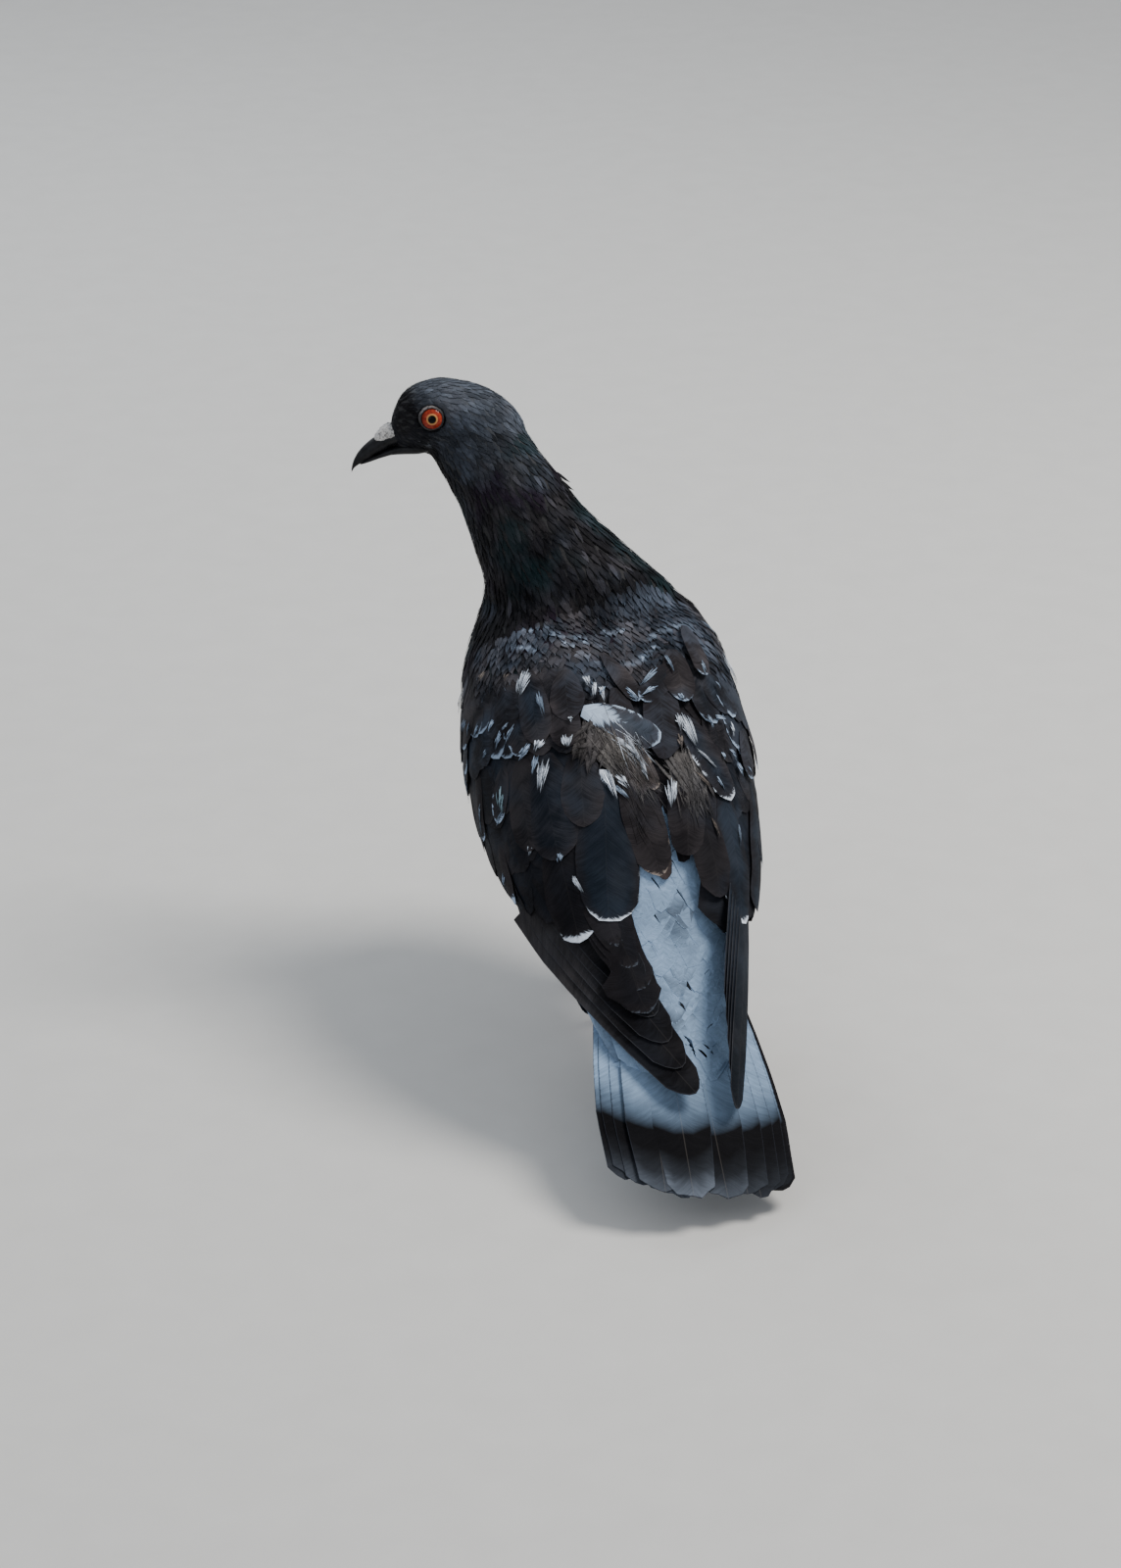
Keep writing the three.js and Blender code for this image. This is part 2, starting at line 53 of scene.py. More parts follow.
# ---- frames of the body, as the part's source has them ----
TRUNK_AT = (4, 0, 92.5)
TRUNK_TURN = (-4, 30, 8)  # yaw, pitch and roll in degrees
HEAD_AT = (-40, 64, 198)
HEAD_TURN = (76, 0, 12)
EYE_SIDE = 7.4
EYE_RADIUS = 5
TAIL_BASE = -66
TAIL_SIDE = 5
TAIL_LENGTH = 100
SIDES = {"left": -1, "right": 1}


def frame_of(at, turn):
    yaw, pitch, roll = (math.radians(angle) for angle in turn)
    turned = Matrix.Rotation(yaw, 4, "Z") @ Matrix.Rotation(pitch, 4, "X") @ Matrix.Rotation(roll, 4, "Y")
    return Matrix.Translation(Vector(at)) @ turned


def middle_of(node):
    low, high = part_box(node)
    return (low + high) / 2


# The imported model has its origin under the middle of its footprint: the left eye gives the shift.
EYE_BEFORE = frame_of(HEAD_AT, HEAD_TURN) @ Vector((-EYE_SIDE, 0, 0))
SHIFT = middle_of("eye_left") / MM - EYE_BEFORE
TRUNK = Matrix.Translation(SHIFT) @ frame_of(TRUNK_AT, TRUNK_TURN)
HEAD = Matrix.Translation(SHIFT) @ frame_of(HEAD_AT, HEAD_TURN)


def arrays(matrix):
    full = np.array(matrix)
    return full[:3, :3], full[:3, 3]


TRUNK_TURNED, TRUNK_ORIGIN = arrays(TRUNK)
HEAD_TURNED, HEAD_ORIGIN = arrays(HEAD)


def in_trunk(points):
    return (points - TRUNK_ORIGIN) @ TRUNK_TURNED


def in_head(points):
    return (points - HEAD_ORIGIN) @ HEAD_TURNED


def trunk_axes(points):
    """How far points are across, along and above the trunk."""
    return np.moveaxis(in_trunk(points), -1, 0)


def girth_and_along(points):
    """Degrees round the trunk, from the back's middle line to the right, and mm along it."""
    x, y, z = trunk_axes(points)
    return np.degrees(np.arctan2(x, z)), y


def from_trunk(points):
    return np.asarray(points, float) @ TRUNK_TURNED.T + TRUNK_ORIGIN


def unit(vectors):
    return vectors / np.maximum(np.linalg.norm(vectors, axis=-1, keepdims=True), 1e-9)


def ease(low, high, values):
    share = np.clip((np.asarray(values, float) - low) / (high - low), 0, 1)
    return share * share * (3 - 2 * share)


def between(start, end, shares):
    """Points at some shares of the way from start to end."""
    return np.asarray(start) + shares[:, None] * (np.asarray(end) - start)


def blend(first, second, share):
    """A colour, or one for each share, between two."""
    share = np.asarray(share, float)[..., None]
    return np.asarray(first) * (1 - share) + np.asarray(second) * share


# ---- camera, light and floor ----
CAMERA_FROM_EYE = Vector((-0.27005, -1.25828, 0.46596))
CAMERA_HEADING = 14
CAMERA_DOWN = 25
LENS = 94.5


def add_camera():
    data = bpy.data.cameras.new("camera")
    data.lens = LENS
    data.sensor_width = 36
    data.clip_start = 0.05
    camera = bpy.data.objects.new("camera", data)
    camera.location = middle_of("eye_left") + CAMERA_FROM_EYE
    camera.rotation_euler = (math.radians(90 - CAMERA_DOWN), 0, math.radians(-CAMERA_HEADING))
    bpy.context.scene.collection.objects.link(camera)
    bpy.context.scene.camera = camera


def add_lamp(name, at, size, power, colour):
    data = bpy.data.lights.new(name, "AREA")
    data.shape = "DISK"
    data.size = size
    data.energy = power
    data.color = colour
    lamp = bpy.data.objects.new(name, data)
    lamp.location = at
    lamp.rotation_euler = (Vector((0, 0, 0.1)) - Vector(at)).to_track_quat("-Z", "Y").to_euler()
    bpy.context.scene.collection.objects.link(lamp)


def add_studio():
    add_lamp("key_light", (0.75, -0.1, 1.3), 0.6, 21, (1, 0.97, 0.92))
    add_lamp("fill_light", (-1.1, -0.9, 0.8), 1.2, 2.5, (0.86, 0.92, 1))
    add_lamp("back_light", (-0.3, 1.2, 1.1), 0.8, 8, (0.88, 0.94, 1))
    world = bpy.data.worlds.new("studio_air")
    bpy.context.scene.world = world
    world.use_nodes = True
    world.node_tree.nodes["Background"].inputs["Color"].default_value = (0.88, 0.93, 1, 1)
    world.node_tree.nodes["Background"].inputs["Strength"].default_value = 0.5


# ---- shader building ----
class Nodes:
    """Short calls for wiring nodes in one tree."""

    def __init__(self, tree):
        self.tree = tree

    def node(self, kind, **settings):
        made = self.tree.nodes.new("ShaderNode" + kind)
        for key, value in settings.items():
            setattr(made, key, value)
        return made

    def wire(self, value, socket):
        """Links an output to a socket, or sets the socket to a constant."""
        if isinstance(value, bpy.types.NodeSocket):
            self.tree.links.new(value, socket)
        elif value is not None:
            socket.default_value = value

    def fed(self, made, *values, **named):
        """A node with values on its inputs, by their order or by name."""
        for value, socket in zip(values, made.inputs):
            self.wire(value, socket)
        for label, value in named.items():
            self.wire(value, made.inputs[label])
        return made

    def math(self, operation, *values):
        return self.fed(self.node("Math", operation=operation), *values).outputs[0]

    def times(self, first, second):
        return self.math("MULTIPLY", first, second)

    def plus(self, first, second):
        return self.math("ADD", first, second)

    def minus(self, first, second):
        return self.math("SUBTRACT", first, second)

    def linear(self, value, slope, base):
        return self.math("MULTIPLY_ADD", value, slope, base)

    def map(self, value, low, high, to_low=0.0, to_high=1.0):
        """A soft step from to_low at low to to_high at high."""
        made = self.node("MapRange", interpolation_type="SMOOTHSTEP")
        return self.fed(made, value, low, high, to_low, to_high).outputs[0]

    def mix(self, share, first, second, how="MIX"):
        made = self.fed(self.node("Mix", data_type="RGBA", blend_type=how), Factor=share)
        self.wire(first, made.inputs[6])
        self.wire(second, made.inputs[7])
        return made.outputs[2]

    def shaded(self, colour, light):
        """A colour times a value."""
        return self.mix(1.0, colour, self.join(light, light, light), "MULTIPLY")

    def noise(self, vector, scale, detail=2.0, rough=0.5):
        made = self.fed(self.node("TexNoise"), Vector=vector, Scale=scale, Detail=detail, Roughness=rough)
        return made.outputs["Fac"]

    def join(self, x, y, z=0.0):
        return self.fed(self.node("CombineXYZ"), x, y, z).outputs[0]

    def parts(self, vector):
        return self.fed(self.node("SeparateXYZ"), vector).outputs[:]

    def attribute(self, name, output):
        return self.node("Attribute", attribute_name=name).outputs[output]

    def place(self):
        return self.node("TexCoord").outputs["Object"]

    def surface(self, inputs, height=None, relief=0.0, strength=1.0):
        """Feeds the material's shader, with a bump whose relief is in metres."""
        shader = self.tree.nodes["Principled BSDF"]
        for label, value in inputs.items():
            self.wire(value, shader.inputs[label])
        if height is not None:
            bump = self.fed(self.node("Bump"), Height=height, Distance=relief, Strength=strength)
            self.wire(bump.outputs[0], shader.inputs["Normal"])


def make_vane_marks():
    """Barbs, fringe, pale marks and shaft of a feather, from its own attributes and its vane map."""
    tree = bpy.data.node_groups.new("vane_marks", "ShaderNodeTree")
    for label, kind in (("Color", "Color"), ("Roughness", "Float"), ("Height", "Float")):
        tree.interface.new_socket(label, in_out="OUTPUT", socket_type="NodeSocket" + kind)
    n = Nodes(tree)

    # where a point is on its vane, in shares and in mm from the shaft, the root, the rim and the tip
    across, along, _ = n.parts(n.node("UVMap", uv_map="vane").outputs[0])
    half, length, seed = n.parts(n.attribute("size", "Vector"))
    side = n.math("ABSOLUTE", n.linear(across, 2.0, -1.0))
    side_mm = n.times(side, half)
    along_mm = n.times(along, length)
    rim_mm = n.minus(half, side_mm)
    tip_mm = n.minus(length, along_mm)
    right_mm = n.times(n.times(across, 2.0), half)
    left_mm = n.minus(n.times(half, 2.0), right_mm)
    edge = n.math("SMOOTH_MIN", rim_mm, tip_mm, 0.8)

    # noise stretched along the barbs, which slant away from the shaft on both sides
    barb = n.linear(side_mm, -0.9, along_mm)
    turn = n.times(n.math("GREATER_THAN", across, 0.5), 17.0)
    own = n.linear(seed, 91.0, turn)

    def barbs(per_mm, sideways, shift, *texture):
        return n.noise(n.join(n.times(barb, per_mm), n.times(side_mm, sideways), shift), 1.0, *texture)

    fine = barbs(2.2, 0.25, own, 3.0, 0.65)
    broad = barbs(0.45, 0.16, own, 2.0)
    streak = barbs(0.85, 0.10, n.plus(own, 7.0), 2.0, 0.6)
    cloud = n.noise(n.place(), 85.0, 3.0)

    # the fringe, ragged by the barbs, and a soft wide edge
    fringe, shaft, ragged = n.parts(n.attribute("trim", "Vector"))
    mean = n.times(n.plus(fine, streak), 0.5)
    fray = n.times(n.minus(mean, 0.5), n.times(ragged, 5.0))
    mask = n.map(n.minus(n.plus(edge, fray), fringe), 0.25, -0.25)
    soft_edge = n.map(n.linear(n.minus(cloud, 0.5), 12.0, edge), 5.0, 0.8)
    mask = n.math("MAXIMUM", mask, n.times(soft_edge, n.attribute("edging", "Alpha")))
    coloured = n.mix(mask, n.attribute("tone", "Color"), n.attribute("edging", "Color"))

    # pale marks at the base, along both sides and round the end
    base, left, right = n.parts(n.attribute("marks", "Vector"))
    end = n.attribute("marks", "Alpha")
    patchy = n.noise(n.join(n.times(along_mm, 0.2), n.plus(own, 3.0)), 1.0, 1.0)
    uneven = n.times(n.map(patchy, 0.42, 0.6), n.map(along, 0.2, 0.5))
    flame = n.times(base, n.linear(side, -0.75, 1.3))
    crescent = n.times(n.times(end, n.map(side, 0.98, 0.35)), n.map(broad, 0.2, 0.5, 0.45, 1.0))
    marked = None
    for reach, width, soft in (
        (n.linear(fray, 2.5, along_mm), flame, 1.8),
        (left_mm, n.times(left, uneven), 0.5),
        (right_mm, n.times(right, uneven), 0.5),
        (tip_mm, crescent, 0.6),
    ):
        past = n.minus(n.linear(fray, 1.2, reach), width)
        here = n.times(n.map(past, soft, -soft), n.map(width, 0.02, 0.3))
        marked = here if marked is None else n.math("MAXIMUM", marked, here)
    coloured = n.mix(marked, coloured, n.attribute("mark_tone", "Color"))

    # light and dark barbs, then the brown and blue haze of worn plumage, and the shaft
    light = n.linear(n.map(streak, 0.3, 0.7), 0.24, n.linear(broad, 0.26, 0.5))
    light = n.times(n.linear(fine, 0.5, light), n.linear(cloud, 0.9, 0.55))
    shown = n.shaded(coloured, light)
    veil = n.linear(n.plus(streak, fine), 0.25, n.minus(cloud, 0.25))
    hue = n.map(n.noise(n.place(), 38.0, 2.0), 0.42, 0.58)
    hazy = n.mix(hue, (0.036, 0.046, 0.064, 1), (0.050, 0.043, 0.043, 1))
    shown = n.mix(n.times(n.map(veil, 0.36, 0.66), n.attribute("tone", "Alpha")), shown, hazy, "ADD")
    shaft_mask = n.times(n.map(side_mm, 0.28, 0.08), shaft)
    lined = n.mix(shaft_mask, shown, n.mix(0.25, shown, (0.30, 0.27, 0.24, 1)))
    ridge = n.times(n.map(side_mm, 0.45, 0.0), shaft)
    n.fed(tree.nodes.new("NodeGroupOutput"), lined, n.linear(fine, 0.2, 0.5), n.linear(ridge, 0.8, fine))
    return tree


def new_material(name):
    material = bpy.data.materials.new(name)
    material.use_nodes = True
    return material, Nodes(material.node_tree)


def plumage_material(name, vane_marks, tint=None):
    """Dull feathers with the shared marks, tinted by a function of the piece's own."""
    material, n = new_material(name)
    marks = n.node("Group", node_tree=vane_marks)
    colour = marks.outputs["Color"]
    inputs = {
        "Base Color": tint(n, colour) if tint else colour,
        "Roughness": marks.outputs["Roughness"],
        "Specular IOR Level": 0.03,
    }
    n.surface(inputs, marks.outputs["Height"], 0.0003, 0.6)
    return material


def painted_neck_sheen(n, colour):
    """Painted sheen: faint fixed green and purple patches that stand in for the iridescence of the hackles.
    """
    patch = n.noise(n.place(), 42.0, 2.0)
    green = n.times(n.map(patch, 0.52, 0.66), 0.5)
    purple = n.times(n.map(patch, 0.46, 0.34), 0.5)
    tinted = n.mix(green, colour, (0.007, 0.026, 0.030, 1))
    return n.mix(purple, tinted, (0.020, 0.010, 0.024, 1))


# ---- smooth forms from the solids ----
def scaled(matrix):
    """A frame given in millimetres, for points in metres."""
    made = matrix.copy()
    made.translation = matrix.translation * MM
    return made


def new_object(name, mesh):
    made = bpy.data.objects.new(name, mesh)
    bpy.context.scene.collection.objects.link(made)
    return made


def add_piece(name, mesh, material, slot, *replaced):
    """A smooth piece that rides the body, in the place of the solids that it replaces."""
    mesh.polygons.foreach_set("use_smooth", np.ones(len(mesh.polygons), bool))
    mesh.materials.append(material)
    made = new_object(name, mesh)
    if replaced:
        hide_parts(*replaced)
    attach(made, "root")


def mesh_of(bm, name, place=None):
    """A bmesh as a mesh. With a place, its points are in mm and the place moves them to the part."""
    if place:
        bmesh.ops.scale(bm, verts=bm.verts, vec=(MM, MM, MM))
        bmesh.ops.transform(bm, verts=bm.verts, matrix=place)
    mesh = bpy.data.meshes.new(name)
    bm.to_mesh(mesh)
    bm.free()
    return mesh


def turns(count):
    """Even angles round a full turn."""
    return [2 * math.pi * step / count for step in range(count)]


def join_rings(bm, rings, closed=False):
    """Walls between each ring of points and the next one, and from the last to the first if closed."""
    edges = [[bm.edges.new(ends) for ends in zip(ring, ring[1:] + ring[:1])] for ring in rings]
    for first, second in zip(edges, edges[1:] + edges[:closed]):
        bmesh.ops.bridge_loops(bm, edges=first + second)


def smooth_out(bm, factor, times):
    for _ in range(times):
        bmesh.ops.smooth_vert(
            bm, verts=bm.verts, factor=factor, use_axis_x=True, use_axis_y=True, use_axis_z=True
        )


def merged(nodes, swell):
    """The nodes' solids in one bmesh, with every point moved out by swell."""
    bm = bmesh.new()
    for node in nodes:
        bm.from_mesh(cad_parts[node].data)
    bmesh.ops.remove_doubles(bm, verts=bm.verts, dist=1e-6)
    bm.normal_update()
    for vert in bm.verts:
        vert.co += vert.normal * swell * MM
    return bm


def evened(mesh, voxel, smooths):
    """A mesh as one even, smooth, closed one."""
    rough = new_object("rough", mesh)
    modifier = rough.modifiers.new("even", "REMESH")
    modifier.mode = "VOXEL"
    modifier.voxel_size = voxel * MM
    shown = rough.evaluated_get(bpy.context.evaluated_depsgraph_get())
    bm = bmesh.new()
    bm.from_mesh(shown.to_mesh())
    bpy.data.objects.remove(rough)
    smooth_out(bm, 0.5, smooths)
    return mesh_of(bm, "even")


# Rounded masses that fill out the face: middle and half sizes in the head's frame.
FACE_MASSES = [
    ((0, 6.5, -10.2), (4.4, 8.0, 3.8)),
    ((0, 9.2, -2.6), (4.2, 5.2, 5.0)),
    ((0, -2.5, 0.0), (8.6, 11.5, 13.7)),
    ((0, -13.5, -6.0), (8.0, 8.0, 9.5)),
    ((0, -20.5, -3.2), (8.5, 8.6, 8.6)),
    ((0, -27.0, -13.6), (8.5, 9.0, 9.2)),
    ((0, -32.4, -21.0), (8.5, 8.8, 8.8)),
]
# The same at the root of the neck, in the frame of the part.
NECK_MASSES = [((-21.3, 40, 141), (8.6, 9, 9)), ((-22.5, 42, 132), (9, 9, 9))]
# How far the flesh is swelled, the size of its new faces, and how often they are smoothed.
BODY_SWELL = 0.25
BODY_VOXEL = 1.3
BODY_SMOOTHS = 7


def body_mesh(nodes):
    """The body with its chin, forehead and nape."""
    bm = merged(nodes, BODY_SWELL)
    for masses, place in ((FACE_MASSES, HEAD), (NECK_MASSES, Matrix.Translation(SHIFT))):
        for at, size in masses:
            mass = bmesh.ops.create_uvsphere(bm, u_segments=24, v_segments=16, radius=MM)["verts"]
            bmesh.ops.scale(bm, verts=mass, vec=size)
            bmesh.ops.translate(bm, verts=mass, vec=Vector(at) * MM)
            bmesh.ops.transform(bm, verts=mass, matrix=scaled(place))
    return evened(mesh_of(bm, "body"), BODY_VOXEL, BODY_SMOOTHS)


def vectors_of(mesh, key):
    values = np.empty(len(mesh.vertices) * 3, np.float32)
    mesh.vertices.foreach_get(key, values)
    return values.reshape(-1, 3).astype(float)


def points_of(mesh):
    return vectors_of(mesh, "co") / MM


def normals_of(mesh):
    return vectors_of(mesh, "normal")


def set_points(mesh, points):
    mesh.vertices.foreach_set("co", (points * MM).astype(np.float32).ravel())
    mesh.update()


VALUE_KINDS = {"color": "FLOAT_COLOR", "vector": "FLOAT_VECTOR", "value": "FLOAT"}


def add_values(mesh, name, kind, values):
    """An attribute of the mesh's points."""
    layer = mesh.attributes.new(name, VALUE_KINDS[kind], "POINT")
    layer.data.foreach_set(kind, values.astype(np.float32).ravel())


def with_alpha(colours):
    """Colours with a fourth column, of ones where they have none."""
    return np.concatenate([colours, np.ones((len(colours), 1))], 1)[:, :4]


class Form:
    """A smooth surface that feathers are laid on, in millimetres."""

    def __init__(self, mesh, inset):
        self.points = points_of(mesh) - normals_of(mesh) * inset
        self.faces = [tuple(face.vertices) for face in mesh.polygons]
        self.tree = BVHTree.FromPolygons(self.points.tolist(), self.faces)
        ways = normals_of(mesh)
        self.face_ways = np.array([unit(ways[list(face)].sum(0)) for face in self.faces])

    def touch(self, points):
        """The nearest places on the form, and the way it faces there."""
        flat = points.reshape(-1, 3)
        found = [self.tree.find_nearest(point) for point in flat.tolist()]
        places = np.array([hit[0][:] for hit in found])
        ways = self.face_ways[[hit[2] for hit in found]]
        return places.reshape(points.shape), ways.reshape(points.shape)

    def scattered(self, count):
        """Random places, even by area."""
        corners = self.points[np.array([(f[0], f[1], f[2], f[-1]) for f in self.faces])]
        area = np.linalg.norm(np.cross(corners[:, 1] - corners[:, 0], corners[:, 3] - corners[:, 0]), axis=1)
        chosen = CHANCE.choice(len(area), count, p=area / area.sum())
        a, b = CHANCE.random((2, count, 1))
        quad = corners[chosen]
        low = quad[:, 0] * (1 - a) + quad[:, 1] * a
        high = quad[:, 3] * (1 - a) + quad[:, 2] * a
        return low * (1 - b) + high * b


# ---- the lie of the coat ----
NECK_LINE = [(-31, 60, 191), (-18.5, 51, 175), (-8, 44, 157), (5, 35, 137), (5.5, 22, 113)]


LINE_STEP = 3.0


def body_line():
    """Points from the bill's root over the head, down the neck and along the trunk to the tail."""
    head = [HEAD_ORIGIN + HEAD_TURNED @ np.array((0, y, -3)) for y in (22, 8, -6, -18)]
    neck = [np.array(point) + np.array(SHIFT) for point in NECK_LINE]
    trunk = [from_trunk((0, y, 0)) for y in (20, -20, -60, -100, -150)]
    rough = np.array(head + neck + trunk)
    steps = np.concatenate([[0], np.cumsum(np.linalg.norm(np.diff(rough, axis=0), axis=1))])
    fine = np.arange(0, steps[-1], LINE_STEP)
    line = np.stack([np.interp(fine, steps, rough[:, axis]) for axis in range(3)], 1)
    for _ in range(6):
        line[1:-1] = (line[:-2] + 2 * line[1:-1] + line[2:]) / 4
    return line, unit(np.gradient(line, axis=0)), fine


LINE, LINE_WAYS, LINE_STEPS = body_line()
LINE_REACH = 15.0  # mm within which the nearest points of the line are averaged


def lie(points):
    """The way the coat lies at each point, and how far along the body line it is, in mm."""
    apart = ((points[:, None, :] - LINE[None]) ** 2).sum(2)
    weight = np.exp(-(apart - apart.min(1, keepdims=True)) / (2 * LINE_REACH**2))
    weight /= weight.sum(1, keepdims=True)
    return unit(weight @ LINE_WAYS), weight @ LINE_STEPS


def lie_and_station(points):
    flat = points.reshape(-1, 3)
    chunks = [lie(flat[i : i + 20000]) for i in range(0, len(flat), 20000)]
    ways = np.concatenate([c[0] for c in chunks]).reshape(points.shape)
    return ways, np.concatenate([c[1] for c in chunks]).reshape(points.shape[:-1])


# ---- colours of the plumage ----
INK = (0.0082, 0.0080, 0.0100)
SLATE = (0.024, 0.027, 0.034)
# painted highlight colour for the top of the head
CROWN_HIGHLIGHT = (0.066, 0.077, 0.098)
UMBER = (0.0148, 0.0131, 0.0148)
NIGHT = (0.0085, 0.0115, 0.0170)
SMOKE = (0.042, 0.044, 0.054)
ICE = (0.42, 0.54, 0.72)
MIST = (0.30, 0.43, 0.62)
SNOW = (0.72, 0.79, 0.90)
FAWN = (0.24, 0.20, 0.175)
RUST = (0.050, 0.034, 0.029)
DUSK = (0.065, 0.075, 0.095)

# The inner edges of the folded wings: mm across at places along the trunk.
INNER_EDGES = {
    "along": (-150, -125, -104, -90, -71, -62, -57, -47, -40),
    "left": (8, 6, -2, -2, -4, -7, -8, -6, 1),
    "right": (16, 18, 20, 22, 23, 19, 11, 6, 3),
}


def inner_edges(along):
    """How far across the inner edges of the left and right wing are, at places along the trunk."""
    return (np.interp(along, INNER_EDGES["along"], INNER_EDGES[side]) for side in SIDES)


def between_wings(points, margin):
    """1 on the rump between the folded wings, widened by a margin in mm, and 0 elsewhere."""
    x, y, z = trunk_axes(points)
    left, right = inner_edges(y)
    inside = ease(left - margin - 3, left - margin, x) * ease(right + margin + 3, right + margin, x)
    return inside * ease(-38, -46, y) * ease(-4, 1, z)


def ground_colour(points):
    """The colour of skin and coat at each place: the markings of the whole bird, with a painted highlight on
    the crown and a painted glint at the corner of the gape.
    """
    _, station = lie_and_station(points)
    x, y, z = trunk_axes(points)
    hx, hy, hz = np.moveaxis(in_head(points), -1, 0)
    colour = blend(SLATE, INK, ease(45, 80, station))
    below_cheek = ease(2, -4, hz + 10.5 - 0.62 * (hy - 2)) * ease(100, 70, station)
    colour = blend(colour, INK, below_cheek)
    # painted highlight: the top of the head made lighter, where light from above falls on the crown
    crown_highlight = ease(-2, 9, hz - 0.25 * hy) * ease(14, 4, hy) * ease(80, 40, station)
    colour = blend(colour, CROWN_HIGHLIGHT, crown_highlight * 0.8)
    lores = ease(1, 7, hy - 0.4 * hz) * ease(80, 30, station)
    colour = blend(colour, np.array(INK) * 0.8, lores)
    back = ease(-8, 10, z)
    colour = blend(colour, UMBER, ease(48, 34, y) * back * ease(110, 135, station))
    mantle = ease(0, 14, y - 0.2 * np.abs(x)) * ease(46, 36, y) * back * ease(110, 135, station)
    colour = blend(colour, (0.024, 0.024, 0.029), mantle * 0.8)
    colour = blend(colour, SMOKE, ease(120, 175, station) * (1 - back))
    colour = blend(colour, MIST, between_wings(points, 8))
    colour = blend(colour, DUSK, ease(-55, -85, y) * (1 - back))
    colour = blend(colour, np.array(MIST) * 0.8, ease(-80, -90, y) * ease(-8, -2, z))
    # painted glint: a small white spot at the corner of the gape, on the left side only
    at_gape = np.linalg.norm(np.stack([hx + 7.0, hy - 4.0, hz + 9.2], -1), axis=-1)
    return blend(colour, SNOW, ease(1.3, 0.6, at_gape) * 0.7)


# ---- vanes ----
class Shape:
    """A unit vane from a grid: columns across, rows along, and two faces a little apart."""

    def __init__(self, columns, rows):
        bm = bmesh.new()
        bmesh.ops.create_grid(bm, x_segments=columns, y_segments=rows, size=0.5)
        top = bmesh.ops.extrude_face_region(bm, geom=bm.faces[:])["geom"]
        raised = [item for item in top if isinstance(item, bmesh.types.BMVert)]
        bmesh.ops.translate(bm, verts=raised, vec=(0, 0, 1))
        bmesh.ops.recalc_face_normals(bm, faces=bm.faces)
        bm.verts.index_update()
        grid = np.array([vert.co[:] for vert in bm.verts])
        self.across = np.round((grid[:, 0] + 0.5) * columns).astype(int)
        self.along = np.round((grid[:, 1] + 0.5) * rows).astype(int)
        self.upper = grid[:, 2] > 0.5
        self.on_rim = (np.abs(grid[:, 0]) > 0.499) | (np.abs(grid[:, 1]) > 0.499)
        self.faces = np.array([[vert.index for vert in face.verts] for face in bm.faces])
        self.columns = np.linspace(-1, 1, columns + 1)
        self.rows = np.linspace(0, 1, rows + 1)
        bm.free()


SMALL = Shape(2, 3)
MIDDLE = Shape(4, 5)
LARGE = Shape(6, 14)

# Half width along a vane, as a share of its greatest, at even steps from root to tip.
OUTLINES = {
    "oval": (0.30, 0.72, 0.95, 1.0, 0.92, 0.62),
    "lance": (0.35, 0.85, 1.0, 0.85, 0.55, 0.12),
    "round": (0.35, 0.75, 0.92, 1.0, 1.0, 0.86),
    "quill": (0.25, 0.62, 0.82, 0.95, 1.0, 0.80),
    "blade": (0.55, 0.90, 1.0, 0.98, 0.86, 0.50),
    "paddle": (0.55, 0.90, 1.0, 1.0, 0.96, 0.78),
}


def outline_at(name, shares):
    given = OUTLINES[name]
    return np.interp(shares, np.linspace(0, 1, len(given)), given)


def look(
    count, tone, edging=None, fringe=0.2, shaft=0.2, ragged=0.5, marks=(0, 0, 0, 0), mark_tone=None, haze=0.0,
    soft=0.0,
):
    """The colours of some vanes.

    fringe is how wide the edging is, and marks are of base, left edge, right edge and end, all in mm.
    shaft, ragged, haze and soft say how much shows of the shaft, torn barbs, wear and a wide soft edge.
    """
    spread = lambda value, width: np.broadcast_to(np.asarray(value, float), (count, width))
    column = lambda value: np.broadcast_to(np.asarray(value, float), (count,))
    return {
        "tone": np.asarray(tone, float) if np.ndim(tone) == 3 else spread(tone, 3),
        "edging": spread(SMOKE if edging is None else edging, 3),
        "trim": np.stack([column(fringe), column(shaft), column(ragged)], 1),
        "marks": spread(marks, 4),
        "haze": column(haze)[:, None],
        "soft": column(soft)[:, None],
        "mark_tone": spread(SNOW if mark_tone is None else mark_tone, 3),
    }


